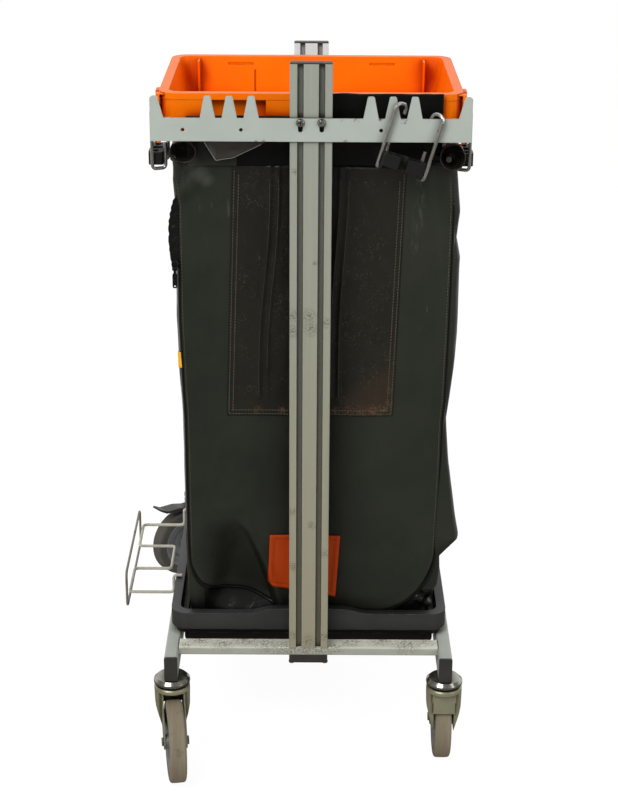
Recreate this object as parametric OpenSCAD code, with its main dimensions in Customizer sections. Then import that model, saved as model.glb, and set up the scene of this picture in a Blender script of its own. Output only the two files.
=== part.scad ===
// Janitor cart: a two-post cleaning trolley with a zipped waste bag, a lift-out top tray,
// a base tray, tool clips, a wire side shelf and four swivel casters.
// Millimetres, +Z up, the front of the cart faces -Y.

/* [Frame] */
// How far a side tube's centreline lies inside the base tray's edge
tube_inset = 4.5; // [0:0.5:8]
// Width of a side tube
tube_w = 20; // [18:1:24]
// Height of a side tube
tube_h = 40; // [36:1:50]
// Wall of the side and cross tubes
tube_wall = 1.5; // [1:0.1:2]
// Outer corner radius of the tubes
tube_r = 3; // [2.2:0.1:4]
// How far the side tubes run past the posts at each end
tube_overhang = 30; // [20:1:60]
// Height of a flat cross tube
cross_h = 13; // [10:1:20]
// Thickness of an end plug's flange
plug_t = 3; // [2:0.5:5]
// Depth of a cross tube from front to back
cross_d = 30; // [24:1:40]

/* [Posts] */
// Width of a post
post_w = 58; // [54:1:70]
// Depth of a post
post_d = 16; // [15:0.5:22]
// Distance from the front post to the rear post
post_pitch = 631; // [600:1:700]
// Height of the front post above the frame
front_post_h = 883; // [850:1:950]
// Height of the rear post above the frame
rear_post_h = 800; // [700:1:880]
// Distance between the two slots of a face
slot_pitch = 29; // [27:0.5:32]
// Opening of a slot
slot_open = 8.5; // [7:0.5:10]
// Width of a slot behind its lips
slot_w = 13; // [11:0.5:14]
// Depth of a slot
slot_depth = 6; // [5:0.5:6.5]
// Thickness of the lips of a slot
slot_lip = 1.8; // [1.2:0.1:2.2]
// Thickness of a post's end cap
cap_h = 2; // [2:0.5:6]
// Thickness of the foot block under a post
foot_h = 12; // [8:1:20]
// Diameter of the post bolts
post_bolt_d = 5; // [4:0.5:5]
// Distance between the two bolts of a post
post_bolt_pitch = 50; // [49.5:0.1:50.5]

/* [Hook plate] */
// How far the hook plate reaches past the bag at each side
plate_reach = 19; // [17:1:40]
// Thickness of the hook plate
plate_t = 2.5; // [2:0.1:3]
// Height of the plate's lower edge above the frame
plate_rise = 778; // [740:1:800]
// Height of the plate's plain band
band_h = 32; // [30:1:40]
// Height of the teeth above the band
tooth_h = 30; // [20:1:34]
// Width of a tooth at its base
tooth_base = 21; // [16:0.5:24]
// Width of a tooth at its top
tooth_top = 9.4; // [6:0.2:12]
// Distance between neighbouring teeth
tooth_pitch = 29.6; // [26:0.2:32]
// Distance of the first tooth from the middle
tooth_first = 81; // [70:1:84]
// Diameter of the open fixing holes
hole_d = 5; // [4:0.5:7]
// Distance of an outer fixing hole from the plate's end
hole_edge = 44; // [32:1:60]
// Spacing of the inner pair of fixing holes
hole_span_inner = 190; // [170:1:210]
// Height of the holes above the plate's lower edge
hole_rise = 16; // [10:1:20]
// Diameter of the plate screws
plate_screw_d = 6; // [5:1:6]

/* [Tray arms and bag hoop] */
// Length of an arm
arm_l = 304; // [302:1:330]
// Thickness of an arm
arm_t = 3; // [2.5:0.1:3.4]
// Diameter of the hoop's rod
hoop_d = 8; // [6:1:9]
// How far the hoop's rod lies inside the bag's width
hoop_inset = 9; // [8.5:0.5:12]
// Drop of the hoop below the plate's lower edge
hoop_drop = 30; // [27:1:40]

/* [Top tray] */
// How far the tray's rim lies inside the plate's ends
tray_inset = 8; // [7:0.5:14]
// Depth of the tray from front to back
tray_d = 292; // [270:1:300]
// Height of the tray
tray_h = 65; // [60:1:66]
// Height of the rim above the arms
rim_rise = 25; // [22:1:34]
// Wall of the tray
tray_wall = 2.5; // [2:0.1:3]
// Width of the rim
rim_w = 13; // [11:1:16]
// How far each wall leans in at the bottom
tray_draft = 10; // [4:1:14]
// Depth of the skirt under the rim
skirt_h = 9; // [6:1:11]

/* [Base tray] */
// How far the base tray reaches past the bag's width at each side
base_reach = 11.5; // [6:0.5:20]
// Height of its rim above the frame
base_h = 37; // [30:1:50]
// Height of its outer skirt
base_skirt = 27; // [20:1:29]
// Width of its rim
base_rim = 14; // [12:1:16]
// Wall of the base tray
base_wall = 3; // [2:0.5:4]
// Rise of the rim behind each post
hump_h = 8; // [4:1:12]
// Depth of the tray's well below the top of the frame
well_drop = 18; // [10:1:24]

/* [Waste bag] */
// Width of the bag at the hoop
bag_w = 398; // [360:1:460]
// Gap between the bag and the walls of the base tray's well
bag_tray_gap = 3; // [1:0.5:6]
// Depth of the bag at the hoop
bag_d = 290; // [280:1:300]
// How far the front leans in at the bottom
bag_lean = 13; // [13:1:16]
// Thickness of the bag's wall
bag_wall = 2.5; // [2:0.1:3]
// Radius of the door's lower corners
door_r = 66; // [40:1:90]
// Width of the zip
zip_w = 5; // [4:0.5:6]
// Width of the document pocket
pocket_w = 242; // [200:1:260]
// Height of the document pocket
pocket_h = 375; // [300:1:400]
// Width of the patch
patch_w = 105; // [80:1:120]
// Height of the patch
patch_h = 100; // [80:1:110]
// Height of the zip slider above the floor
slider_z = 782; // [500:1:830]

/* [Tool clips] */
// Diameter of the clip wire
clip_wire_d = 5; // [3:0.5:5]
// Spacing of a clip's two legs
clip_span = 67; // [62:1:70]
// Drop from the edge that a clip hangs on to its lowest bend
clip_l = 85; // [80:1:92]
// Height of a grip
grip_h = 18; // [14:1:24]
// Depth of a grip
grip_d = 21; // [20:1:22]
// Diameter of the handle slot
grip_bore = 17; // [14:1:18]
// Tilt of the front clip
front_clip_tilt = 17; // [10:1:18]
// Shift of the front clip past the last full tooth
front_clip_shift = 5.8; // [5:0.2:7]
// Place of the side clips along the arms
side_clip_y = 90; // [90:1:92]

/* [Wire shelf] */
// Diameter of the floor wire
shelf_wire_d = 5; // [4:0.5:6]
// Diameter of the guard wire
guard_wire_d = 4; // [3:0.5:5]
// Reach of the shelf past the base tray
shelf_reach = 74; // [60:1:100]
// Place of the first floor run behind the front post
shelf_start = 163; // [120:1:190]
// Distance between floor runs
shelf_pitch = 84; // [60:1:95]
// Depth of the floor below the base tray's rim
shelf_drop = 27; // [18:1:30]
// Height of the guard ring
guard_h = 60; // [40:1:70]

/* [Casters] */
// Height of a caster, from the floor to the frame
caster_h = 154; // [153:1:175]
// Diameter of a wheel
wheel_d = 125; // [115:1:126]
// Width of a tyre
tyre_w = 25; // [22:1:26]
// Diameter of the wheel's hub under the tyre
hub_d = 92; // [80:1:96]
// Distance of a wheel behind its swivel axis
trail = 38; // [34:1:42]
// Diameter of the swivel head
head_d = 55; // [52:1:60]
// Diameter of a wheel axle
axle_d = 8; // [6:1:10]
// Diameter of the threaded stem
stem_d = 10; // [8:1:10]
// Distance of a swivel axis from its tube's end
caster_inset = 16; // [15:1:40]
// Heading of the front left caster
yaw_front_left = 189; // [0:1:359]
// Heading of the front right caster
yaw_front_right = 0; // [0:1:359]
// Heading of the rear left caster
yaw_rear_left = 130; // [0:1:359]
// Heading of the rear right caster
yaw_rear_right = 155; // [0:1:359]

/* [Fits] */
// Gap between pieces that only lie beside each other
seat_gap = 0.3; // [0.2:0.05:0.5]
// Radial clearance of running fits
run_gap = 0.08; // [0.03:0.01:0.1]
// Radial clearance of bolts in their holes
bolt_gap = 0.2; // [0.1:0.05:0.3]

/* [Hidden] */
$fn = 48;

paint_grey = [0.74, 0.76, 0.73];
metal_grey = [0.72, 0.73, 0.70];
zinc = [0.74, 0.73, 0.66];
dark_plastic = [0.23, 0.23, 0.24];
orange = [1.0, 0.45, 0.0];
bag_grey = [0.17, 0.17, 0.15];
black_rubber = [0.07, 0.07, 0.07];
tyre_grey = [0.49, 0.45, 0.41];
cut = 1;

// Widths that follow from the bag's width
base_w = bag_w + 2 * base_reach;
track = base_w - 2 * tube_inset;
plate_w = bag_w + 2 * plate_reach;
tray_w = plate_w - 2 * tray_inset;
hoop_x = bag_w / 2 - hoop_inset;
hole_span_outer = plate_w - 2 * hole_edge;
front_clip_x = tooth_first + 2 * tooth_pitch + front_clip_shift;

// Heights and places that follow from the sizes above
tube_top = caster_h + tube_h;
tube_front = -tube_overhang;
tube_l = post_pitch + cross_d + 2 * tube_overhang;
caster_y = [tube_front + caster_inset, tube_front + tube_l - caster_inset];
cross_l = track - tube_w;
plug_depth = caster_inset - 0.93 * stem_d - 0.6;
foot_top = tube_top - cross_h;
bolt_y = (post_d - cross_d) / 2;
plate_bottom = tube_top + plate_rise;
band_top = plate_bottom + band_h;
plate_h = band_h + tooth_h;
end_tooth_top = 10.6;
end_tooth_base = 18.3;
arm_edge_inset = 1.5;
arm_out = plate_w / 2 - arm_edge_inset;
arm_in = arm_out - arm_t;
arm_mid = arm_out - arm_t / 2;
hoop_z = plate_bottom - hoop_drop;
tray_gap = 10;
well_side_gap = 3.5;
tray_front = cross_d + tray_gap;
rim_z = band_top + rim_rise;
lug_l = 20;
lug_y = [90, 290];
lug_foot = 5;
base_front = cross_d + tray_gap;
base_l = post_pitch - cross_d - 2 * tray_gap;
base_top = tube_top + base_h;
base_floor_t = 4;
base_floor_inset = 7.5;
ledge_in = tube_w / 2 + tube_inset + 1;
well_w = base_w - 2 * ledge_in - 2 * well_side_gap;
well_l = base_l - 2 * base_rim;
bag_bottom_w = well_w - 2 * base_wall - 2 * bag_tray_gap;
base_r = 25;
bag_front = cross_d + 15;
bag_bottom = tube_top - well_drop + base_floor_t + seat_gap;
bag_height = hoop_z - bag_bottom;
bag_r = 25;
front_angle = atan(bag_lean / bag_height);
sleeve_r = hoop_d / 2 + 4;
roll_r = 15;
roll_x = hoop_x + 4;
roll_y = [20, 52];
hoop_front = roll_y[0] + 4;
hoop_rear = bag_front + bag_d - sleeve_r;
hanger_y = [150, 262];
door_t = 1.8;
zip_t = 1.2;
trim_t = 1;
door_inset = zip_w + 2;
door_drop = hoop_z - base_top + 4;
door_top_drop = 12;
slider_t = 3.6;
puller_pin_r = 1.1;
puller_rise = 2.6;
clip_reach = 6.2;
clip_gap = 0.6;
clip_hook = 15;
clip_arch = 3.6;
clip_hook_drop = 7;
grip_front = -12;
grip_lift = 2.3;
hub_half = 14.6;
leg_t = 2.5;
leg_in = 15.2;
king_r = 6;
crown_bottom = caster_h - 20;
crown_top = caster_h - 13;
cup_bottom = crown_top + 2.3;
pedal_y = 10;
pedal_z = crown_bottom - 8;
brake_pin_r = 2;
guard_x = base_w / 2 + shelf_reach + shelf_wire_d / 2 + guard_wire_d / 2 + 0.1;

// The origin lies on the floor, below the middle of the whole cart
centre_x = (track / 2 + head_d / 2 - guard_x - guard_wire_d / 2) / 2;
rear_end = max(tube_front + tube_l + plug_t, caster_y[1] + head_d / 2);
centre_y = (rear_end + caster_y[0] - trail - wheel_d / 2) / 2;

module place() {
    translate([-centre_x, -centre_y, 0]) children();
}

// Outlines
function arc(cx, cy, r, from, to, n) = [
    for (i = [0 : n])
        let (a = from + (to - from) * i / n)
        [cx + r * cos(a), cy + r * sin(a)]
];
function round_rect(w, d, r, n = 5) = concat(
    arc(w / 2 - r, d / 2 - r, r, 0, 90, n),
    arc(r - w / 2, d / 2 - r, r, 90, 180, n),
    arc(r - w / 2, r - d / 2, r, 180, 270, n),
    arc(w / 2 - r, r - d / 2, r, 270, 360, n)
);
function stadium(w, l, n = 6) = concat(
    arc(0, l / 2 - w / 2, w / 2, 0, 180, n),
    arc(0, w / 2 - l / 2, w / 2, 180, 360, n)
);
function shifted(points, x, y) = [for (p = points) p + [x, y]];
function mirrored(points) = [for (i = [len(points) - 1 : -1 : 0]) [-points[i][0], points[i][1]]];

// A wire is swept along a path whose corners are bent to given radii
function unit(v) = v / norm(v);
function bend(p, i, r, n) =
    let (a = unit(p[i - 1] - p[i]))
    let (b = unit(p[i + 1] - p[i]))
    let (half = acos(a * b) / 2)
    let (c = p[i] + unit(a + b) * r / sin(half))
    let (u = p[i] + a * r / tan(half) - c)
    let (w = p[i] + b * r / tan(half) - c)
    let (turn = 180 - 2 * half)
    [for (k = [0 : n]) c + (sin(turn * (1 - k / n)) * u + sin(turn * k / n) * w) / sin(turn)];
function bent_path(p, radii, n = 4) = [
    p[0],
    for (i = [1 : len(p) - 2]) each bend(p, i, radii[i - 1], n),
    p[len(p) - 1]
];
function same(r, n) = [for (i = [1 : n]) r];
function tangent(p, i) = unit(p[min(i + 1, len(p) - 1)] - p[max(i - 1, 0)]);
function carried(v, t) = unit(v - t * (v * t));
function normals(p, first, i = 0, made = []) =
    i == len(p) ? made
    : normals(p, first, i + 1, concat(made, [carried(i == 0 ? first : made[i - 1], tangent(p, i))]));

module wire(path, d, first = [0.31, 0.9, 0.28], sides = 10) {
    count = len(path);
    side = normals(path, first);
    points = [
        for (i = [0 : count - 1])
            let (across = cross(tangent(path, i), side[i]))
            for (k = [0 : sides - 1])
                path[i] + d / 2 * (cos(k * 360 / sides) * side[i] + sin(k * 360 / sides) * across)
    ];
    walls = [
        for (i = [0 : count - 2])
            for (k = [0 : sides - 1])
                let (a = i * sides + k)
                let (b = i * sides + (k + 1) % sides)
                each [[a, a + sides, b], [b, a + sides, b + sides]]
    ];
    ends = [
        [for (k = [0 : sides - 1]) k],
        [for (k = [sides - 1 : -1 : 0]) (count - 1) * sides + k]
    ];
    polyhedron(points, concat(walls, ends), convexity = 6);
}

// A closed solid between two outlines of as many points
module loft(low, high, z0, z1) {
    n = len(low);
    points = concat([for (p = low) [p[0], p[1], z0]], [for (p = high) [p[0], p[1], z1]]);
    walls = [
        for (k = [0 : n - 1])
            let (j = (k + 1) % n)
            each [[k, n + k, j], [j, n + k, n + j]]
    ];
    polyhedron(points, concat(walls, [[for (k = [0 : n - 1]) k], [for (k = [n - 1 : -1 : 0]) n + k]]));
}

module bar_along_y(w, h, r, l) {
    translate([0, l, h / 2]) rotate([90, 0, 0]) linear_extrude(l) polygon(round_rect(w, h, r));
}

module bar_along_x(d, h, r, l) {
    translate([-l / 2, 0, h / 2]) rotate([90, 0, 90]) linear_extrude(l) polygon(round_rect(d, h, r));
}

module prism(points, h) {
    linear_extrude(h) polygon(points);
}

module ring_prism(outer, inner, h) {
    difference() {
        prism(outer, h);
        translate([0, 0, -cut]) prism(inner, h + 2 * cut);
    }
}

module rod_along_y(d, l) {
    rotate([-90, 0, 0]) cylinder(h = l, d = d);
}

module hex_prism(flats, h) {
    cylinder(h = h, d = flats / cos(30), $fn = 6);
}

// Frame
module side_tube(side) {
    inner_r = max(tube_r - tube_wall, 0.3);
    color(paint_grey) place() translate([side * track / 2, tube_front, caster_h]) difference() {
        bar_along_y(tube_w, tube_h, tube_r, tube_l);
        translate([0, -cut, tube_wall])
            bar_along_y(tube_w - 2 * tube_wall, tube_h - 2 * tube_wall, inner_r, tube_l + 2 * cut);
        for (y = caster_y)
            translate([0, y - tube_front, -cut])
                cylinder(h = tube_wall + 2 * cut, d = stem_d + 2 * bolt_gap);
    }
}
module side_tube_left() { side_tube(-1); }
module side_tube_right() { side_tube(1); }

module cross_tube(y) {
    inner_r = max(tube_r - tube_wall, 0.3);
    color(paint_grey) place() translate([0, y + cross_d / 2, foot_top]) difference() {
        bar_along_x(cross_d, cross_h, tube_r, cross_l);
        translate([0, 0, tube_wall])
            bar_along_x(cross_d - 2 * tube_wall, cross_h - 2 * tube_wall, inner_r, cross_l + 2 * cut);
        translate([0, bolt_y, 0]) post_bolt_holes(cross_h);
    }
}
module front_cross_tube() { cross_tube(0); }
module rear_cross_tube() { cross_tube(post_pitch); }

module tube_end_plugs() {
    fit_w = tube_w - 2 * tube_wall - 2 * seat_gap;
    fit_h = tube_h - 2 * tube_wall - 2 * seat_gap;
    color(dark_plastic) place() for (side = [-1, 1], end = [0, 1])
        translate([side * track / 2, tube_front + end * tube_l, caster_h]) mirror([0, end, 0]) {
            translate([0, -plug_t, 0]) bar_along_y(tube_w, tube_h, tube_r, plug_t);
            translate([0, -cut / 2, tube_wall + seat_gap]) bar_along_y(fit_w, fit_h, 1, plug_depth);
        }
}

module post_bolt_holes(l) {
    for (side = [-1, 1])
        translate([side * post_bolt_pitch / 2, 0, -cut])
            cylinder(h = l + 2 * cut, d = post_bolt_d + 2 * bolt_gap);
}

module slot(l) {
    translate([-slot_open / 2, -cut, -cut]) cube([slot_open, slot_lip + 2 * cut, l + 2 * cut]);
    translate([-slot_w / 2, slot_lip, -cut]) cube([slot_w, slot_depth - slot_lip, l + 2 * cut]);
}

module post(y, h) {
    core_w = slot_pitch - slot_w - 2 * slot_lip;
    core_d = post_d - 2 * slot_lip;
    color(metal_grey) place() translate([0, y, tube_top]) difference() {
        translate([0, post_d / 2, 0]) prism(round_rect(post_w, post_d, 1.5, 3), h);
        for (side = [-1, 1]) {
            translate([side * slot_pitch / 2, 0, 0]) slot(h);
            translate([side * slot_pitch / 2, post_d, 0]) mirror([0, 1, 0]) slot(h);
        }
        translate([-core_w / 2, slot_lip, -cut]) cube([core_w, core_d, h + 2 * cut]);
        translate([0, post_d / 2, 0]) post_bolt_holes(h);
    }
}
module front_post() { post(0, front_post_h); }
module rear_post() { post(post_pitch, rear_post_h); }

module post_cap(y, h) {
    color(dark_plastic) place() translate([0, y + post_d / 2, tube_top + h]) {
        prism(round_rect(post_w, post_d, 2), cap_h - 1);
        translate([0, 0, cap_h - 1]) prism(round_rect(post_w - 2, post_d - 2, 2), 1);
    }
}
module front_post_cap() { post_cap(0, front_post_h); }
module rear_post_cap() { post_cap(post_pitch, rear_post_h); }

module post_foot(y) {
    color(dark_plastic) place() translate([0, y + cross_d / 2, foot_top - foot_h]) difference() {
        prism(round_rect(post_w, cross_d, 3), foot_h);
        translate([0, bolt_y, 0]) post_bolt_holes(foot_h);
    }
}
module front_post_foot() { post_foot(0); }
module rear_post_foot() { post_foot(post_pitch); }

module post_bolts() {
    grip = 40;
    head_h = 0.66 * post_bolt_d;
    color(zinc) place() for (y = [0, post_pitch], side = [-1, 1])
        translate([side * post_bolt_pitch / 2, y + post_d / 2, foot_top - foot_h]) {
            translate([0, 0, -head_h]) hex_prism(1.625 * post_bolt_d, head_h);
            cylinder(h = foot_h + cross_h + grip, d = post_bolt_d);
        }
}

// Hook plate
function tooth(c) = [
    [c - tooth_base / 2, band_h],
    [c - tooth_top / 2, plate_h - 1.5],
    [c - tooth_top / 2 + 1.5, plate_h],
    [c + tooth_top / 2 - 1.5, plate_h],
    [c + tooth_top / 2, plate_h - 1.5],
    [c + tooth_base / 2, band_h]
];
function plate_half() = concat(
    tooth(tooth_first),
    tooth(tooth_first + tooth_pitch),
    tooth(tooth_first + 2 * tooth_pitch),
    [
        [plate_w / 2 - end_tooth_base, band_h],
        [plate_w / 2 - end_tooth_top, plate_h - 2],
        [plate_w / 2 - end_tooth_top + 2, plate_h],
        [plate_w / 2 - 3, plate_h],
        [plate_w / 2, plate_h - 3],
        [plate_w / 2, 0]
    ]
);
screw_rise = 26;
screw_slot_l = 18;

module hook_plate() {
    color(metal_grey) place() translate([0, 0, plate_bottom]) difference() {
        rotate([90, 0, 0]) prism(concat(plate_half(), mirrored(plate_half())), plate_t);
        for (span = [hole_span_inner, hole_span_outer], side = [-1, 1])
            translate([side * span / 2, -plate_t - cut, hole_rise])
                rod_along_y(hole_d, plate_t + 2 * cut);
        for (side = [-1, 1])
            translate([side * slot_pitch / 2, cut, screw_rise - 4]) rotate([90, 0, 0])
                prism(stadium(plate_screw_d + 2 * bolt_gap, screw_slot_l), plate_t + 2 * cut);
    }
}

module hook_plate_screws() {
    head_h = 4;
    head_r = plate_screw_d;
    color(zinc) place() for (side = [-1, 1])
        translate([side * slot_pitch / 2, -plate_t, plate_bottom + screw_rise]) difference() {
            union() {
                rotate([90, 0, 0]) cylinder(h = head_h, r1 = head_r, r2 = 0.72 * head_r);
                rod_along_y(plate_screw_d, plate_t + slot_depth - 0.5);
            }
            for (turn = [0, 90])
                translate([0, -head_h, 0]) rotate([0, turn, 0]) cube([0.9 * head_r, 3, 1.3], center = true);
        }
}

module slot_nuts() {
    nut_w = slot_w - 2 * seat_gap;
    nut_t = slot_depth - slot_lip - 2 * seat_gap;
    nut_l = 2 * (band_h - screw_rise) - 2 * seat_gap;
    color(zinc) place() for (side = [-1, 1])
        translate([side * slot_pitch / 2, slot_lip + seat_gap / 2, plate_bottom + screw_rise])
            difference() {
                translate([-nut_w / 2, 0, -nut_l / 2]) cube([nut_w, nut_t, nut_l]);
                translate([0, -cut, 0]) rod_along_y(plate_screw_d + 2 * run_gap, nut_t + 2 * cut);
            }
}

// Arms behind the plate, and the hoop that the bag hangs on
module tray_arm(side) {
    flange = 26;
    outline = [
        [arm_out - flange, 0],
        [arm_out, 0],
        [arm_out, arm_l],
        [arm_in, arm_l],
        [arm_in, arm_t],
        [arm_out - flange, arm_t]
    ];
    color(metal_grey) place() translate([0, 0, plate_bottom])
        prism(side > 0 ? outline : mirrored(outline), band_h);
}
module tray_arm_left() { tray_arm(-1); }
module tray_arm_right() { tray_arm(1); }

module hoop_hangers() {
    eye_r = hoop_d / 2 + 3;
    outline = concat(
        [[arm_in, plate_bottom + 12], [arm_in, plate_bottom - 2]],
        arc(hoop_x, hoop_z, eye_r, -50, -230, 8)
    );
    color(metal_grey) place() for (side = [0, 1], y = hanger_y) mirror([side, 0, 0])
        translate([0, y + arm_t / 2, 0]) difference() {
            rotate([90, 0, 0]) prism(outline, arm_t);
            translate([hoop_x, -arm_t - cut, hoop_z]) rod_along_y(hoop_d + 2 * run_gap, arm_t + 2 * cut);
        }
}

module bag_hoop() {
    route = [
        [-hoop_x, hoop_front, hoop_z],
        [-hoop_x, hoop_rear, hoop_z],
        [hoop_x, hoop_rear, hoop_z],
        [hoop_x, hoop_front, hoop_z]
    ];
    color(metal_grey) place() wire(bent_path(route, same(20, 2), 5), hoop_d, [0, 0, 1], 12);
}

// Trays
module base_tray() {
    outer = round_rect(base_w, base_l, base_r);
    inner_r = base_r - base_rim + 4;
    inner = round_rect(base_w - 2 * base_rim, base_l - 2 * base_rim, inner_r);
    skirt_in = round_rect(base_w - 2 * base_wall, base_l - 2 * base_wall, base_r - base_wall);
    neck_w = base_w - 2 * base_rim + 2 * base_wall;
    neck_l = base_l - 2 * base_rim + 2 * base_wall;
    neck = round_rect(neck_w, neck_l, inner_r + base_wall);
    ledge = round_rect(base_w - 2 * base_floor_inset, base_l - 2 * base_floor_inset, base_r - base_floor_inset);
    well = round_rect(well_w, well_l, inner_r);
    well_in = round_rect(well_w - 2 * base_wall, well_l - 2 * base_wall, inner_r - base_wall);
    color(dark_plastic) place() translate([0, base_front + base_l / 2, tube_top]) difference() {
        union() {
            translate([0, 0, base_h - base_skirt]) prism(outer, base_skirt);
            prism(ledge, base_h - base_skirt + base_wall);
            translate([0, 0, -well_drop]) prism(well, well_drop + 1);
            for (turn = [0, 180])
                rotate([0, 0, turn]) translate([0, base_rim - base_l / 2, base_h]) base_hump();
        }
        translate([0, 0, base_floor_t]) prism(inner, base_h);
        translate([0, 0, base_floor_t - well_drop]) prism(well_in, base_h);
        translate([0, 0, base_h - base_skirt - cut])
            ring_prism(skirt_in, neck, base_skirt - base_wall + cut);
    }
}

// The rim swells up behind each post
module base_hump() {
    flat = post_w / 2 + 20;
    run = 42;
    steps = 6;
    rise = [
        for (i = [0 : steps])
            [flat + run * (1 - i / steps), hump_h * (1 - cos(180 * i / steps)) / 2]
    ];
    rotate([90, 0, 0]) prism(concat(rise, mirrored(rise), [[-flat - run, -cut], [flat + run, -cut]]), base_rim);
}

module top_tray() {
    wall_w = tray_w - 2 * rim_w + 2 * tray_wall;
    wall_d = tray_d - 2 * rim_w + 2 * tray_wall;
    r = 18;
    low = round_rect(wall_w - 2 * tray_draft, wall_d - 2 * tray_draft, r);
    high = round_rect(wall_w, wall_d, r);
    low_in = round_rect(wall_w - 2 * tray_draft - 2 * tray_wall, wall_d - 2 * tray_draft - 2 * tray_wall, r - 2);
    high_in = round_rect(wall_w - 2 * tray_wall, wall_d - 2 * tray_wall, r - 2);
    rim = round_rect(tray_w, tray_d, r + 6);
    skirt_in = round_rect(tray_w - 2 * tray_wall, tray_d - 2 * tray_wall, r + 4);
    rim_t = 3;
    block_h = 44;
    block_drop = 5;
    slot_l = 38;
    slot_x = 0.254 * tray_w;
    color(orange) place() translate([0, tray_front + tray_d / 2, rim_z - tray_h]) difference() {
        union() {
            difference() {
                union() {
                    loft(low, high, 0, tray_h);
                    translate([0, 0, tray_h - rim_t]) prism(rim, rim_t);
                    translate([0, 0, tray_h - skirt_h]) ring_prism(rim, skirt_in, skirt_h - cut);
                    tray_front_blocks(block_h, block_drop);
                    tray_lugs();
                }
                loft(low_in, high_in, tray_wall, tray_h + cut / 4);
            }
            for (side = [0, 1]) mirror([side, 0, 0]) tray_gusset(wall_w, wall_d);
        }
        for (side = [-1, 1])
            translate([side * slot_x - slot_l / 2, wall_d / 2 - 2 * tray_wall - 2, tray_h - 12.5])
                cube([slot_l, tray_wall + 2 - 0.9, 3.2]);
        translate([-0.205 * tray_w, wall_d / 2 - tray_wall, tray_h]) rotate([-atan(tray_draft / tray_h), 0, 0])
            translate([0, -3, -52]) cube([2.6, 3 + tray_wall / 2, 32]);
    }
}

// Blocks that swell the front wall at its middle and corners
module tray_front_blocks(block_h, block_drop) {
    depth = rim_w + tray_draft;
    z0 = tray_h - block_drop - block_h;
    middle_w = 124;
    corner_w = 62;
    flush = 0.4;
    intersection() {
        translate([0, 0, z0]) prism(round_rect(tray_w - 2 * flush, tray_d - 2 * flush, 24), block_h);
        union() {
            translate([-middle_w / 2, -tray_d / 2, z0]) cube([middle_w, depth, block_h]);
            for (side = [0, 1]) mirror([side, 0, 0])
                translate([tray_w / 2 - corner_w, -tray_d / 2, z0]) cube([corner_w, depth, block_h]);
        }
    }
}

// Lugs that rest on the arms, and the two locating legs behind the plate
module tray_lugs() {
    lug_bottom = tray_h - rim_rise + seat_gap;
    lug_x = arm_out - (tray_w / 2 - tray_wall);
    leg_x = arm_in - seat_gap - 5;
    for (side = [0, 1]) mirror([side, 0, 0]) {
        for (end = [0, 1])
            translate([tray_w / 2 - tray_wall, lug_y[end] - lug_l / 2 - tray_front - tray_d / 2, lug_bottom]) {
                cube([end == 0 ? lug_x : tray_wall, lug_l, rim_rise - seat_gap - 4]);
                cube([lug_x, lug_l, lug_foot]);
            }
        translate([leg_x, 4 - tray_d / 2, tray_h - 70]) cube([5, 12, 68]);
        translate([tray_w / 2 - 8, 4 - tray_d / 2, tray_h - 3]) cube([arm_in - seat_gap - tray_w / 2 + 8, 12, 1.5]);
    }
}

// Three-cornered rib in an inner rear corner
module tray_gusset(wall_w, wall_d) {
    reach = 20;
    translate([wall_w / 2 - tray_draft - 22, wall_d / 2 - tray_wall, tray_h - 3]) rotate([90, 90, 90])
        prism([[0, 0], [0, -reach - tray_draft], [tray_h - 4.5, -tray_draft - 4], [tray_h - 4.5, -tray_draft]], 3);
}

// Waste bag
function bag_outline(w, y0, y1, r) = shifted(round_rect(w, y1 - y0, r, 4), 0, (y0 + y1) / 2);

module bag_body(inset, z0, z1) {
    low = bag_outline(bag_bottom_w - 2 * inset, bag_front + bag_lean + inset,
        bag_front + bag_d - 12 - inset, bag_r - inset);
    high = bag_outline(bag_w - 2 * inset, bag_front + inset, bag_front + bag_d - inset, bag_r - inset);
    loft(low, high, z0, z1);
}

module waste_bag() {
    hem = 20;
    hem_w = 2 * hoop_x - 24;
    rear_l = 2 * (hoop_x - 26);
    color(bag_grey) place() difference() {
        union() {
            difference() {
                bag_body(0, bag_bottom, hoop_z);
                bag_body(bag_wall, bag_bottom + bag_wall, hoop_z + cut);
            }
            for (side = [-1, 1]) {
                translate([side * hoop_x, roll_y[1] - cut, hoop_z])
                    rod_along_y(2 * sleeve_r, hoop_rear - 26 - roll_y[1]);
                translate([side * roll_x, roll_y[0], hoop_z]) rod_along_y(2 * roll_r, roll_y[1] - roll_y[0]);
            }
            translate([-rear_l / 2, hoop_rear, hoop_z]) rotate([0, 90, 0]) cylinder(h = rear_l, r = sleeve_r);
            translate([-hem_w / 2, bag_front, hoop_z - 5]) cube([hem_w, bag_wall, hem + 5]);
            bag_flap();
        }
        hoop_bores(rear_l);
        for (side = [0, 1], y = hanger_y) mirror([side, 0, 0])
            translate([hoop_x - 12, y - arm_t / 2 - 1, hoop_z - 12]) cube([30, arm_t + 2, 40]);
    }
}

module hoop_bores(rear_l) {
    bore = hoop_d + 2 * seat_gap;
    for (side = [-1, 1])
        translate([side * hoop_x, hoop_front - seat_gap, hoop_z]) rod_along_y(bore, hoop_rear - hoop_front);
    translate([-rear_l / 2 - cut, hoop_rear, hoop_z]) rotate([0, 90, 0]) cylinder(h = rear_l + 2 * cut, d = bore);
}

// Loose front hem that stands up behind the teeth on one side
module bag_flap() {
    y0 = cross_d + 4;
    z0 = hoop_z + 5;
    z2 = rim_z - 3;
    outline = [
        [bag_front, z0], [y0, z0 + 34], [y0, z2], [y0 + 2, z2], [y0 + 2, z0 + 34.6], [bag_front + bag_wall, z0]
    ];
    translate([30, 0, 0]) rotate([90, 0, 90]) prism(outline, 152);
}

// Pieces sewn on the front of the bag lie in the plane of its leaning front
module on_front(out) {
    translate([0, bag_front, hoop_z]) rotate([90 + front_angle, 0, 0]) translate([0, 0, out]) children();
}

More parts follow.
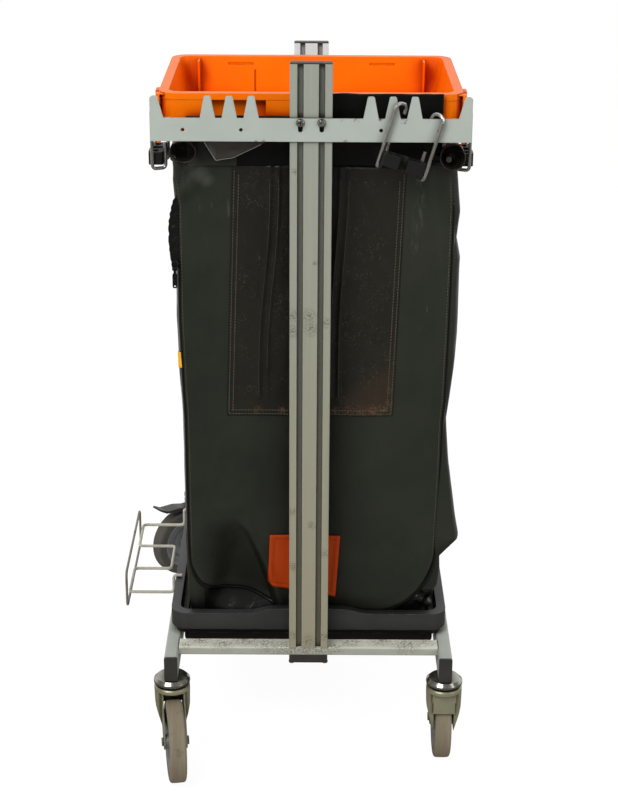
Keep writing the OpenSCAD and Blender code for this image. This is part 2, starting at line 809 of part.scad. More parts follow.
function door_outline(inset, top) =
    let (half_top = bag_w / 2 - inset)
    let (half_low = bag_w / 2 - (bag_w - bag_bottom_w) / 2 * door_drop / bag_height - inset)
    let (r = door_r - inset)
    concat(
        [[half_top, top]],
        arc(half_low - r, r - door_drop + inset, r, 0, -90, 6),
        arc(r - half_low, r - door_drop + inset, r, -90, -180, 6),
        [[-half_top, top]]
    );

module bag_door() {
    color(bag_grey) place() on_front(seat_gap) difference() {
        prism(door_outline(door_inset, -door_top_drop), door_t);
        for (side = [-1, 1])
            translate([side * roll_x, 0, -cut]) cylinder(h = door_t + 2 * cut, r = roll_r + 1);
    }
}

module door_zip() {
    color(black_rubber) place() on_front(seat_gap) difference() {
        prism(door_outline(1.5, -50), zip_t);
        translate([0, 0, -cut]) prism(door_outline(1.5 + zip_w, cut), zip_t + 2 * cut);
    }
}

slider_drop = hoop_z - slider_z;
slider_x = -(bag_w / 2 - (bag_w - bag_bottom_w) / 2 * slider_drop / bag_height - 1.5 - zip_w / 2);
slider_out = seat_gap + door_t + seat_gap;
slider_foot = door_t - zip_t;

module zip_slider() {
    shield = [[-4, 7], [4, 7], [5, 3], [3, -7], [-3, -7], [-5, 3]];
    color(zinc) place() on_front(slider_out) translate([slider_x, -slider_drop, 0]) {
        prism(shield, slider_t);
        translate([-2.2, -6, -slider_foot]) cube([4.4, 12, slider_foot + 0.5]);
        for (x = [-3.6, 2.2]) translate([x, -5, slider_t - 0.5]) cube([1.4, 4, 4.6]);
        translate([-3, -3, slider_t + puller_rise]) rotate([0, 90, 0]) cylinder(h = 6, r = puller_pin_r);
    }
}

module zip_puller() {
    eye_r = 2.1;
    color(zinc) place() on_front(slider_out + slider_t + puller_rise) translate([slider_x, -slider_drop - 3, 0])
        difference() {
            union() {
                translate([-1.8, 0, 0]) rotate([0, 90, 0]) cylinder(h = 3.6, r = eye_r);
                translate([-1.8, -8, -0.7]) cube([3.6, 7, 1.4]);
                translate([0, -18, -0.7]) prism(round_rect(7, 22, 2.5), 1.4);
            }
            translate([-3, 0, 0]) rotate([0, 90, 0]) cylinder(h = 6, r = puller_pin_r + run_gap);
            translate([0, -26, -cut]) cylinder(h = 3, d = 2.4);
        }
}

door_face = seat_gap + door_t + seat_gap;

module document_pocket() {
    lean = 1.9;
    drop = 2;
    color([0.2, 0.2, 0.17]) place() on_front(door_face)
        translate([5, -drop - door_top_drop - pocket_h / 2, 0]) rotate([0, 0, -lean])
            prism(round_rect(pocket_w, pocket_h, 2, 2), trim_t);
}

module bag_patch() {
    slant = 11;
    centre_z = 312;
    w = patch_w / 2;
    h = patch_h / 2;
    outline = [[-w - 2, slant / 2 - h], [w - 4, -slant / 2 - h], [w, h], [-w, h]];
    color(orange) place() on_front(door_face)
        translate([-10, centre_z - hoop_z, 0]) prism(outline, trim_t);
}

// Tool clips: two bent wires that hook over an edge and carry a rubber grip
module clip_wires(arch) {
    leg = clip_span / 2;
    back = grip_front + grip_d + seat_gap + clip_wire_d / 2;
    top = clip_wire_d / 2 + clip_gap + arch;
    for (s = [-1, 1]) {
        route = [
            [s * (leg - clip_hook), clip_reach, -clip_hook_drop],
            [s * (leg - clip_hook), clip_reach, top],
            [s * leg, -clip_reach, top],
            [s * leg, -clip_reach, -clip_l],
            [s * (leg - 8), back, -clip_l],
            [s * (leg - 8), back, 36 - clip_l]
        ];
        wire(bent_path(route, [8, 8, 5, 5], 4), clip_wire_d, [0.2, 0.35, 0.9], 8);
    }
}

module clip_grip() {
    w = clip_span - clip_wire_d - 2 * seat_gap;
    mouth = 11;
    bore_y = grip_front + 10.5;
    translate([0, 0, clip_wire_d / 2 + seat_gap + grip_lift - clip_l]) difference() {
        translate([0, grip_front + grip_d / 2, 0]) prism(round_rect(w, grip_d, 4), grip_h);
        translate([0, bore_y, -cut]) cylinder(h = grip_h + 2 * cut, d = grip_bore);
        translate([-mouth / 2, grip_front - cut, -cut]) cube([mouth, 7, grip_h + 2 * cut]);
        for (s = [-1, 1])
            translate([s * 20, grip_front + grip_d / 2, -cut]) rotate([0, 0, 90])
                prism(stadium(8, 14), grip_h + 2 * cut);
    }
}

module at_front_clip() {
    rest = (clip_span / 2 - clip_hook / 2 - 3) * sin(front_clip_tilt);
    translate([front_clip_x, -plate_t / 2, band_top + rest]) rotate([0, front_clip_tilt, 0]) children();
}

module at_side_clip(side) {
    translate([side * arm_mid, side_clip_y, band_top]) rotate([0, 0, side * 90]) children();
}

module clip_wires_front() { color(zinc) place() at_front_clip() clip_wires(clip_arch); }
module clip_grip_front() { color(black_rubber) place() at_front_clip() clip_grip(); }
module clip_wires_left() { color(zinc) place() at_side_clip(-1) clip_wires(0); }
module clip_grip_left() { color(black_rubber) place() at_side_clip(-1) clip_grip(); }
module clip_wires_right() { color(zinc) place() at_side_clip(1) clip_wires(0); }
module clip_grip_right() { color(black_rubber) place() at_side_clip(1) clip_grip(); }

// Wire shelf hooked over the left rim of the base tray
module wire_shelf_floor() {
    r = shelf_wire_d / 2;
    rim = -base_w / 2;
    hang = rim - r - 1.2;
    far = rim - shelf_reach;
    near = rim - 14;
    over = base_top + r + seat_gap;
    z = base_top - shelf_drop;
    y = [for (i = [0 : 3]) shelf_start + i * shelf_pitch];
    route = [
        [rim + 10, y[0], over], [hang, y[0], over], [hang, y[0], z], [far, y[0], z],
        [far, y[1], z], [near, y[1], z], [near, y[2], z], [far, y[2], z],
        [far, y[3], z], [hang, y[3], z], [hang, y[3], over], [rim + 10, y[3], over]
    ];
    color(paint_grey) place() wire(bent_path(route, concat([4], same(6, 8), [4]), 3), shelf_wire_d, [0.2, 0.9, 0.35], 8);
}

module wire_shelf_guard() {
    y0 = shelf_start - 3;
    y1 = shelf_start + 3 * shelf_pitch - 14;
    z0 = base_top - shelf_drop - 25;
    z1 = z0 + guard_h;
    r = 10;
    seam = 0.4;
    route = [
        [-guard_x, (y0 + y1) / 2 - seam, z0],
        [-guard_x, y0, z0],
        [-guard_x, y0, z1],
        [-guard_x, y1, z1],
        [-guard_x, y1, z0],
        [-guard_x, (y0 + y1) / 2 + seam, z0]
    ];
    color(paint_grey) place() wire(bent_path(route, same(r, 4), 4), guard_wire_d, [1, 0, 0], 8);
}

// Casters
module at_caster(side, end, yaw) {
    place() translate([side * track / 2, caster_y[end], 0]) rotate([0, 0, yaw]) children();
}

module caster_heads() {
    r = head_d / 2;
    stem_r = stem_d / 2;
    stem_top = caster_h + tube_wall + 12;
    rivet = crown_bottom - seat_gap;
    profile = [
        [0, rivet - 2.6], [8, rivet - 2.6], [9, rivet - 1.8], [9, rivet], [king_r, rivet], [king_r, cup_bottom],
        [r - 3.5, cup_bottom], [r, cup_bottom + 2.7], [r, cup_bottom + 6], [r - 4.5, caster_h],
        [stem_r, caster_h], [stem_r, stem_top], [0, stem_top]
    ];
    color(zinc) for (side = [-1, 1], end = [0, 1])
        at_caster(side, end, 0) rotate_extrude() polygon(profile);
}

module caster_nuts() {
    nut_h = 0.84 * stem_d;
    corner_r = max(tube_r - tube_wall, 0.3);
    flats = min(1.6 * stem_d, tube_w - 2 * tube_wall - 2 * corner_r);
    color(zinc) for (side = [-1, 1], end = [0, 1])
        at_caster(side, end, 0) translate([0, 0, caster_h + tube_wall]) difference() {
            rotate([0, 0, 30]) hex_prism(flats, nut_h);
            translate([0, 0, -cut]) cylinder(h = nut_h + 2 * cut, d = stem_d + 2 * run_gap);
        }
}

module swivel_bearings() {
    ring = [
        [king_r + 8, crown_top + 0.2], [head_d / 2 - 5, crown_top + 0.2],
        [head_d / 2 - 5, cup_bottom - 0.2], [king_r + 8, cup_bottom - 0.2]
    ];
    color(dark_plastic) for (side = [-1, 1], end = [0, 1])
        at_caster(side, end, 0) rotate_extrude() polygon(ring);
}

module fork(braked) {
    r = head_d / 2 - 0.5;
    back_h = braked ? 14 : 34;
    axle_z = wheel_d / 2;
    crown = [
        [king_r + run_gap, crown_bottom], [r, crown_bottom], [r, crown_top - 2], [r - 2, crown_top],
        [king_r + run_gap, crown_top]
    ];
    leg = concat(
        [[-19, crown_bottom - 14], [-19, crown_bottom + 2], [19, crown_bottom + 2], [21, crown_bottom - 16]],
        arc(trail, axle_z, 12, 30, -150, 8)
    );
    flare = [
        [leg_in, crown_bottom + 2], [r, crown_bottom + 2], [r - 1.2, crown_bottom - 26], [leg_in, crown_bottom - 66]
    ];
    difference() {
        union() {
            rotate_extrude() polygon(crown);
            for (side = [0, 1]) mirror([side, 0, 0]) {
                translate([leg_in, 0, 0]) rotate([90, 0, 90]) prism(leg, leg_t);
                intersection() {
                    translate([0, 15, 0]) rotate([90, 0, 0]) prism(flare, 30);
                    translate([0, 0, crown_bottom - 68]) cylinder(h = 72, r = r);
                }
                if (braked)
                    translate([leg_in, pedal_y, pedal_z]) rotate([0, 90, 0]) cylinder(h = leg_t, r = 6);
            }
            translate([-leg_in - 1, -19, crown_bottom - back_h]) cube([2 * leg_in + 2, leg_t, back_h + 1]);
        }
        translate([-40, trail, axle_z]) rotate([0, 90, 0]) cylinder(h = 80, d = axle_d + 2 * run_gap);
        if (braked)
            translate([-40, pedal_y, pedal_z]) rotate([0, 90, 0]) cylinder(h = 80, r = brake_pin_r + run_gap);
    }
}

module axle() {
    out = leg_in + leg_t;
    head_h = 0.36 * axle_d;
    translate([0, trail, wheel_d / 2]) rotate([0, 90, 0]) {
        translate([0, 0, -out - head_h]) cylinder(h = 2 * out + 2 * head_h, d = axle_d);
        for (z = [-out - head_h, out]) translate([0, 0, z]) hex_prism(1.6 * axle_d, head_h);
    }
}

module hub() {
    bore = axle_d / 2 + run_gap;
    boss = axle_d / 2 + 7;
    rim_r = hub_d / 2;
    half = tyre_w / 2 - 0.5;
    side_profile = [
        [bore, hub_half], [boss, hub_half], [boss + 1.5, 6], [rim_r - 16, 5], [rim_r - 14.5, half - 3],
        [rim_r - 8, half - 3], [rim_r - 7, half - 1.2], [rim_r - 4, half - 1.2], [rim_r - 3, half], [rim_r, half]
    ];
    back_profile = [for (i = [len(side_profile) - 1 : -1 : 0]) [side_profile[i][0], -side_profile[i][1]]];
    translate([0, trail, wheel_d / 2]) rotate([0, 90, 0]) rotate_extrude($fn = 72)
        polygon(concat(side_profile, back_profile));
}

module tyre() {
    r0 = hub_d / 2 + 0.05;
    r1 = wheel_d / 2;
    half = tyre_w / 2;
    shoulder = 5;
    profile = concat(
        [[r0, 0.5 - half], [r1 - shoulder - 1, -half]],
        arc(r1 - shoulder, shoulder - half, shoulder, -80, -20, 3),
        [[r1, -3], [r1, 3]],
        arc(r1 - shoulder, half - shoulder, shoulder, 20, 80, 3),
        [[r1 - shoulder - 1, half], [r0, half - 0.5]]
    );
    translate([0, trail, wheel_d / 2]) rotate([0, 90, 0]) rotate_extrude($fn = 72) polygon(profile);
}

// Foot pedal that presses a shoe on the tyre
module brake_pedal() {
    half = leg_in - 2.2;
    tip = trail + 58;
    shoe_y = trail + 19;
    barrel_r = brake_pin_r + 1.8;
    side_view = [
        [pedal_y - 2, pedal_z + 2], [pedal_y, pedal_z + 3.6], [pedal_y + 6, pedal_z + 6], [trail - 6, pedal_z + 6],
        [trail + 14, pedal_z + 11], [tip - 16, pedal_z + 12], [tip - 2, pedal_z + 19], [tip, pedal_z + 16],
        [tip - 14, pedal_z + 8], [shoe_y + 7, pedal_z + 7], [shoe_y + 5, pedal_z + 1.8], [shoe_y - 5, pedal_z + 4],
        [trail - 4, pedal_z + 3], [pedal_y + 3, pedal_z - 1.5]
    ];
    difference() {
        union() {
            translate([-half, 0, 0]) rotate([90, 0, 90]) prism(side_view, 2 * half);
            translate([-half, pedal_y, pedal_z]) rotate([0, 90, 0]) cylinder(h = 2 * half, r = barrel_r);
        }
        translate([-40, pedal_y, pedal_z]) rotate([0, 90, 0]) cylinder(h = 80, r = brake_pin_r + run_gap);
    }
}

module brake_pin() {
    out = leg_in + leg_t + 1;
    translate([-out, pedal_y, pedal_z]) rotate([0, 90, 0]) cylinder(h = 2 * out, r = brake_pin_r);
}

module front_left() { at_caster(-1, 0, yaw_front_left) children(); }
module front_right() { at_caster(1, 0, yaw_front_right) children(); }
module rear_left() { at_caster(-1, 1, yaw_rear_left) children(); }
module rear_right() { at_caster(1, 1, yaw_rear_right) children(); }

module fork_front_left() { color(zinc) front_left() fork(false); }
module fork_front_right() { color(zinc) front_right() fork(false); }
module fork_rear_left() { color(zinc) rear_left() fork(true); }
module fork_rear_right() { color(zinc) rear_right() fork(true); }
module axle_front_left() { color(zinc) front_left() axle(); }
module axle_front_right() { color(zinc) front_right() axle(); }
module axle_rear_left() { color(zinc) rear_left() axle(); }
module axle_rear_right() { color(zinc) rear_right() axle(); }
module hub_front_left() { color(metal_grey) front_left() hub(); }
module hub_front_right() { color(metal_grey) front_right() hub(); }
module hub_rear_left() { color(metal_grey) rear_left() hub(); }
module hub_rear_right() { color(metal_grey) rear_right() hub(); }
module tyre_front_left() { color(tyre_grey) front_left() tyre(); }
module tyre_front_right() { color(tyre_grey) front_right() tyre(); }
module tyre_rear_left() { color(tyre_grey) rear_left() tyre(); }
module tyre_rear_right() { color(tyre_grey) rear_right() tyre(); }
module brake_pedal_left() { color(dark_plastic) rear_left() brake_pedal(); }
module brake_pedal_right() { color(dark_plastic) rear_right() brake_pedal(); }
module brake_pin_left() { color(zinc) rear_left() brake_pin(); }
module brake_pin_right() { color(zinc) rear_right() brake_pin(); }

side_tube_left();
side_tube_right();
front_cross_tube();
rear_cross_tube();
tube_end_plugs();
front_post();
rear_post();
front_post_cap();
rear_post_cap();
front_post_foot();
rear_post_foot();
post_bolts();
hook_plate();
hook_plate_screws();
slot_nuts();
tray_arm_left();
tray_arm_right();
hoop_hangers();
bag_hoop();
base_tray();
top_tray();
waste_bag();
bag_door();
door_zip();
zip_slider();
zip_puller();
document_pocket();
bag_patch();
wire_shelf_floor();
wire_shelf_guard();
caster_heads();
caster_nuts();
swivel_bearings();
fork_front_left();
fork_front_right();
fork_rear_left();
fork_rear_right();
axle_front_left();
axle_front_right();
axle_rear_left();
axle_rear_right();
hub_front_left();
hub_front_right();
hub_rear_left();
hub_rear_right();
tyre_front_left();
tyre_front_right();
tyre_rear_left();
tyre_rear_right();
brake_pedal_left();
brake_pedal_right();
brake_pin_left();
brake_pin_right();
clip_wires_front();
clip_grip_front();
clip_wires_left();
clip_grip_left();
clip_wires_right();
clip_grip_right();
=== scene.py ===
# %% [markdown]
# # A janitor cart, dressed for a picture
# The cart's hard pieces come from the CAD model, already in place. This lesson gives each of them a
# finish, and makes the soft pieces again as cloth: the waste bag with its door, zip, pocket and patch.

# %% Load the cart
import math

import bpy
from mathutils import Euler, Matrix, Quaternion, Vector, noise


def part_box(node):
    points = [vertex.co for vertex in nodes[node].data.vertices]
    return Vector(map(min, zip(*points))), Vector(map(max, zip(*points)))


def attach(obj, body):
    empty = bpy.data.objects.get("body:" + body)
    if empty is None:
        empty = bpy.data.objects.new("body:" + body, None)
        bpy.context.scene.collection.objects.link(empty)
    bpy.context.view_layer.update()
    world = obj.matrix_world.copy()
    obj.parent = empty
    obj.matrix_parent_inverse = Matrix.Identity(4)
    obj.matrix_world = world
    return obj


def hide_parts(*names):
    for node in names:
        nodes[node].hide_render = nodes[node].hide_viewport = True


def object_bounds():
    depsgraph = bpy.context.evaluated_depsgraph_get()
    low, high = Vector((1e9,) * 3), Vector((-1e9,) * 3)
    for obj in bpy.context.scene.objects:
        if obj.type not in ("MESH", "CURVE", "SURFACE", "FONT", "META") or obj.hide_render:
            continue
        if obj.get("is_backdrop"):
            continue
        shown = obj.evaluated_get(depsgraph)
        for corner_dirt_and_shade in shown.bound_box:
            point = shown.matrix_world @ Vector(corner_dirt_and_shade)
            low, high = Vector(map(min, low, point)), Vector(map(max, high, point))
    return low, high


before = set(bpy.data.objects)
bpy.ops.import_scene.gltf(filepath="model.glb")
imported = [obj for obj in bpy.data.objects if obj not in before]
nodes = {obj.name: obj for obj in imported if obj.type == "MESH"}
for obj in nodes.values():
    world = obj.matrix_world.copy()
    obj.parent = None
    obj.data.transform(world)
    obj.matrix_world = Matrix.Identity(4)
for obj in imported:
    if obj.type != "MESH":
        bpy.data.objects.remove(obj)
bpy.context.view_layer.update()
print("CAD nodes:", len(nodes))

# %% [markdown]
# Every soft piece is placed from the front post, because the camera and the bag are both measured
# from it: x from its middle, y from its front face, z from the floor, all in millimetres. Points could
# be typed in the scene's own metres, but then a change of the cart's depth would leave the cloth behind.

# %% A place on the cart
post_low, post_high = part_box("front_post")
middle_x = (post_low[0] + post_high[0]) / 2
front_y = post_low[1]


def on_cart(x, y, z):
    return Vector((middle_x + x / 1000, front_y + y / 1000, z / 1000))


print("front post at", round(middle_x, 4), round(front_y, 4))

# %% [markdown]
# The photograph was taken from a little above the cart, with a long lens. The lens and the tilt were
# found from the places of the wheels, the plate and the tray, so the picture can be compared with it.
# A camera can also be turned by eye, but numbers can be mended one at a time. The cart leans a hair
# clockwise there, so the camera is rolled by the same angle.

# %% Camera
camera_tilt, camera_roll = 21.07, 0.31
eye = bpy.data.cameras.new("camera")
eye.lens = 81.8
eye.sensor_width = 36
eye.sensor_fit = "AUTO"
eye.shift_x = -0.00075
camera = bpy.data.objects.new("camera", eye)
camera.location = on_cart(0, -2430, 1532)
tilt = Euler((math.radians(90 - camera_tilt), 0, 0)).to_quaternion()
camera.rotation_euler = (tilt @ Quaternion((0, 0, 1), math.radians(camera_roll))).to_euler()
bpy.context.scene.collection.objects.link(camera)
bpy.context.scene.camera = camera
print("camera at", tuple(round(v, 3) for v in camera.location))

# %% [markdown]
# A finish is a tree of nodes. These helpers add one node, set its named sockets, and link those that
# are given another node's output, so that each finish below reads as a short list of what is on it.
# The nodes could be laid out by hand in the editor, but code gives the same tree on every run.

# %% Helpers for nodes
def feed(tree, socket, value):
    if isinstance(value, bpy.types.NodeSocket):
        tree.links.new(value, socket)
    else:
        socket.default_value = value


def add_node(tree, kind, settings=None, **sockets):
    made = tree.nodes.new(kind)
    for key, value in (settings or {}).items():
        setattr(made, key, value)
    for key, value in sockets.items():
        feed(tree, made.inputs[key.replace("_", " ")], value)
    return made


def sums(tree, operation, first, second):
    made = add_node(tree, "ShaderNodeMath", {"operation": operation})
    feed(tree, made.inputs[0], first)
    feed(tree, made.inputs[1], second)
    return made.outputs[0]


def mixed(tree, share, under, over):
    made = add_node(tree, "ShaderNodeMix", {"data_type": "RGBA"})
    for index, value in ((0, share), (6, under), (7, over)):
        feed(tree, made.inputs[index], value)
    return made.outputs[2]


def ramp(tree, value, low, high, to_low=0.0, to_high=1.0):
    return add_node(tree, "ShaderNodeMapRange", {"clamp": True}, Value=value, From_Min=low, From_Max=high,
                    To_Min=to_low, To_Max=to_high).outputs[0]


def colour(r, g, b):
    steps = [c / 255 for c in (r, g, b)]
    return [c / 12.92 if c <= 0.04045 else ((c + 0.055) / 1.055) ** 2.4 for c in steps] + [1.0]


def place_of(tree):
    return add_node(tree, "ShaderNodeTexCoord").outputs["Object"]


def height_of(tree):
    return add_node(tree, "ShaderNodeSeparateXYZ", Vector=place_of(tree)).outputs["Z"]


def speckle(tree, scale, low, high, detail=6.0, stretch=(1, 1, 1), rough=0.6):
    turned = add_node(tree, "ShaderNodeMapping", Vector=place_of(tree), Scale=stretch).outputs[0]
    cloud = add_node(tree, "ShaderNodeTexNoise", Vector=turned, Scale=scale, Detail=detail, Roughness=rough)
    return ramp(tree, cloud.outputs["Fac"], low, high)


def spots_at(tree, spots, squash=(1, 1, 1)):
    total = 0.0
    flat = add_node(tree, "ShaderNodeMapping", Vector=place_of(tree), Scale=squash).outputs[0]
    for x, y, z, size in spots:
        away = add_node(tree, "ShaderNodeVectorMath", {"operation": "DISTANCE"})
        tree.links.new(flat, away.inputs[0])
        away.inputs[1].default_value = on_cart(x, y, z) * Vector(squash)
        near = ramp(tree, away.outputs["Value"], size / 1000, size / 8000)
        total = sums(tree, "MAXIMUM", near, total)
    return total


print("helpers ready")

# %% [markdown]
# The studio is a pale floor under a white surround. The camera sees plain white. Mirror rays see a dim
# room in front and the white surround behind, so that dark cloth stays dark but has bright edges. The
# light comes from large soft lamps: one high at the left, a weaker one at the right, and two behind
# that lift the edges but are not mirrored themselves, so that no metal is burnt out from the back.

# %% Floor, surround and lamps
scene = bpy.context.scene
scene.view_settings.view_transform = "Standard"
world = bpy.data.worlds.new("surround")
world.use_nodes = True
scene.world = world
sky = world.node_tree
path = add_node(sky, "ShaderNodeLightPath")
seen = sums(sky, "MAXIMUM", path.outputs["Is Camera Ray"], path.outputs["Is Transmission Ray"])
room = sky.nodes["Background"]
room.inputs["Color"].default_value = (1, 1, 1, 1)
way = add_node(sky, "ShaderNodeSeparateXYZ", Vector=add_node(sky, "ShaderNodeTexCoord").outputs["Generated"])
behind = ramp(sky, way.outputs["Y"], 0.1, 0.5, 0.25, 1.0)
plain_part = ramp(sky, path.outputs["Is Glossy Ray"], 0, 1, 0.45, 0.0)
mirror_part = sums(sky, "MULTIPLY", behind, path.outputs["Is Glossy Ray"])
feed(sky, room.inputs["Strength"], sums(sky, "ADD", plain_part, mirror_part))
bright = add_node(sky, "ShaderNodeBackground", Color=(1, 1, 1, 1), Strength=1.0)
both = add_node(sky, "ShaderNodeMixShader", Fac=seen)
sky.links.new(room.outputs[0], both.inputs[1])
sky.links.new(bright.outputs[0], both.inputs[2])
sky.links.new(both.outputs[0], sky.nodes["World Output"].inputs["Surface"])


def lamp(name, place, aim, size, power, mirrored=True):
    light = bpy.data.lights.new(name, "AREA")
    light.shape = "RECTANGLE"
    light.size, light.size_y = size
    light.energy = power
    made = bpy.data.objects.new(name, light)
    made.location = place
    made.rotation_euler = (Vector(aim) - Vector(place)).to_track_quat("-Z", "Y").to_euler()
    made.visible_glossy = mirrored
    scene.collection.objects.link(made)


lamp("key lamp", (-1.4, -2.3, 3.1), (0, 0, 0.6), (1.6, 1.6), 74)
lamp("fill lamp", (2.3, -1.7, 1.7), (0, 0, 0.6), (1.2, 1.8), 18)
lamp("left rim lamp", (-2.1, 1.5, 1.5), (0, 0.1, 0.7), (0.8, 1.6), 13, mirrored=False)
lamp("right rim lamp", (2.1, 1.5, 1.3), (0, 0.1, 0.7), (0.8, 1.6), 15, mirrored=False)
bpy.ops.mesh.primitive_grid_add(x_subdivisions=8, y_subdivisions=8, size=9)
floor = bpy.context.object
floor.name = "floor"
pale = bpy.data.materials.new("pale floor")
pale.use_nodes = True
ground = pale.node_tree
matt = ground.nodes["Principled BSDF"]
matt.inputs["Roughness"].default_value = 0.9
ray = add_node(ground, "ShaderNodeLightPath")
tint = mixed(ground, speckle(ground, 3.0, 0.3, 0.7), colour(238, 238, 236), colour(243, 243, 242))
depth = add_node(ground, "ShaderNodeSeparateXYZ", Vector=place_of(ground)).outputs["Y"]
mirror_tint = mixed(ground, ramp(ground, depth, 0.2, 0.8), colour(104, 101, 94), colour(250, 250, 250))
tint = mixed(ground, ray.outputs["Is Glossy Ray"], tint, mirror_tint)
ground.links.new(tint, matt.inputs["Base Color"])
glow_strength, glow_share = 1.08, 0.88
glow = add_node(ground, "ShaderNodeEmission", Color=(1, 1, 1, 1), Strength=glow_strength)
share = sums(ground, "MULTIPLY", ray.outputs["Is Camera Ray"], glow_share)
cover = add_node(ground, "ShaderNodeMixShader", Fac=share)
ground.links.new(matt.outputs[0], cover.inputs[1])
ground.links.new(glow.outputs[0], cover.inputs[2])
ground.links.new(cover.outputs[0], ground.nodes["Material Output"].inputs["Surface"])
floor.data.materials.append(pale)
floor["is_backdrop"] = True

# %% [markdown]
# Most hard finishes share a plan: a colour with soft blotches, a tone low down (floor dust on the posts
# and tyres, painted shade under the base tray's rim), faces that look up made paler (dust and painted
# light from above), grime in patches, darker corners (dirt and painted shade), chips at named places,
# an edge tone (wear on paint and metal, a painted highlight on the plastic trays), and a fine bump. The
# bevel node rounds the look of sharp edges and finds them for the edge tone, and the occlusion node finds
# grooves for the painted shade. All this could be painted on unwrapped faces, but CAD meshes come without
# an unwrapping, so it is made from places in space.

# %% A helper for hard finishes
def hard_finish(name, base, blotch, grime, edge_wear_and_highlight, rough, metal=0.0, grain=900.0, bump=0.05, edge=0.0012,
                grime_from=0.62, edge_spread=0.5, stretch=(1, 1, 1), corner_dirt_and_shade=None, reach=0.012,
                low_dust_and_shade=None, top_dust_and_light=None, marks=(), mark=None, fleck=240.0, squash=(1, 1, 1),
                shine=0.4):
    made = bpy.data.materials.new(name)
    made.use_nodes = True
    tree = made.node_tree
    shader = tree.nodes["Principled BSDF"]
    shader.inputs["Metallic"].default_value = metal
    shader.inputs["Specular IOR Level"].default_value = shine
    shown = mixed(tree, speckle(tree, 14, 0.35, 0.68, stretch=stretch), base, blotch)
    # Below a height the colour turns to a given tone: floor dust on the posts and tyres, painted shade under
    # the base tray's rim.
    if low_dust_and_shade:
        tone, bottom, top, most = low_dust_and_shade
        shown = mixed(tree, ramp(tree, height_of(tree), top, bottom, 0.0, most), shown, tone)
    plain = add_node(tree, "ShaderNodeNewGeometry").outputs["Normal"]
    soft = add_node(tree, "ShaderNodeBevel", {"samples": 6}, Radius=edge)
    # Faces that look up are made paler: dust, and painted light from above.
    if top_dust_and_light:
        facing = add_node(tree, "ShaderNodeSeparateXYZ", Vector=plain).outputs["Z"]
        shown = mixed(tree, ramp(tree, facing, 0.6, 0.9), shown, top_dust_and_light)
    dirt = speckle(tree, 38, grime_from, grime_from + 0.14, detail=9)
    shown = mixed(tree, dirt, shown, grime)
    # Where the occlusion node finds grooves and corners the colour darkens: dirt, and painted shade.
    if corner_dirt_and_shade:
        hidden = add_node(tree, "ShaderNodeAmbientOcclusion", {"samples": 6}, Distance=reach).outputs["AO"]
        shown = mixed(tree, ramp(tree, hidden, 0.95, 0.45), shown, corner_dirt_and_shade)
    if marks:
        flecks = speckle(tree, fleck, 0.46, 0.56, detail=7, rough=0.7)
        shown = mixed(tree, sums(tree, "MULTIPLY", spots_at(tree, marks, squash), flecks), shown, mark)
    # Sharp edges get their own tone: worn paint and metal, and on the plastic trays a painted highlight.
    bend = add_node(tree, "ShaderNodeVectorMath", {"operation": "DOT_PRODUCT"})
    tree.links.new(plain, bend.inputs[0])
    tree.links.new(soft.outputs[0], bend.inputs[1])
    edge_mask = ramp(tree, bend.outputs["Value"], 0.97, 0.86)
    patchy = sums(tree, "MULTIPLY", edge_mask, speckle(tree, 60, 0.62 - 0.3 * edge_spread, 0.78 - 0.3 * edge_spread))
    tree.links.new(mixed(tree, patchy, shown, edge_wear_and_highlight), shader.inputs["Base Color"])
    tree.links.new(ramp(tree, dirt, 0.0, 1.0, rough, min(rough + 0.3, 1.0)), shader.inputs["Roughness"])
    fine = speckle(tree, grain, 0.2, 0.8, detail=4, stretch=stretch)
    relief = add_node(tree, "ShaderNodeBump", Strength=bump, Distance=0.001, Height=fine,
                      Normal=soft.outputs[0])
    tree.links.new(relief.outputs[0], shader.inputs["Normal"])
    return made


def dress(finish, *names):
    for name in names:
        for place in nodes[name].material_slots:
            place.material = finish


print("hard finish helper ready")

# %% [markdown]
# The frame is painted tube and drawn aluminium. Dust from the floor turns the lower part of the posts
# tan, the slots are darkened with dirt and painted shade, and the paint is chipped where things knock it.
# The rear post is a much paler copy of the front one, a painted highlight for the light it catches. Noise
# alone would spread chips evenly, so they are listed by place, and noise only breaks up their outline.

# %% Frame, posts and plate
frame_paint = hard_finish("frame paint", colour(160, 165, 157), colour(172, 176, 168), colour(108, 98, 82),
                          colour(92, 86, 76), 0.42, edge_spread=0.9, grime_from=0.66, corner_dirt_and_shade=colour(96, 84, 64))
cross_chips = [(-42, 8, 194, 24), (-66, 14, 194, 22), (-24, 0, 190, 14), (-5, 0, 191, 14), (16, 0, 190, 14),
               (36, 6, 193, 18), (-95, 22, 194, 22), (-130, 12, 194, 20), (-165, 20, 194, 22),
               (-186, 8, 194, 12), (64, 18, 194, 18), (110, 22, 194, 20), (150, 14, 194, 24),
               (180, 20, 194, 16)]
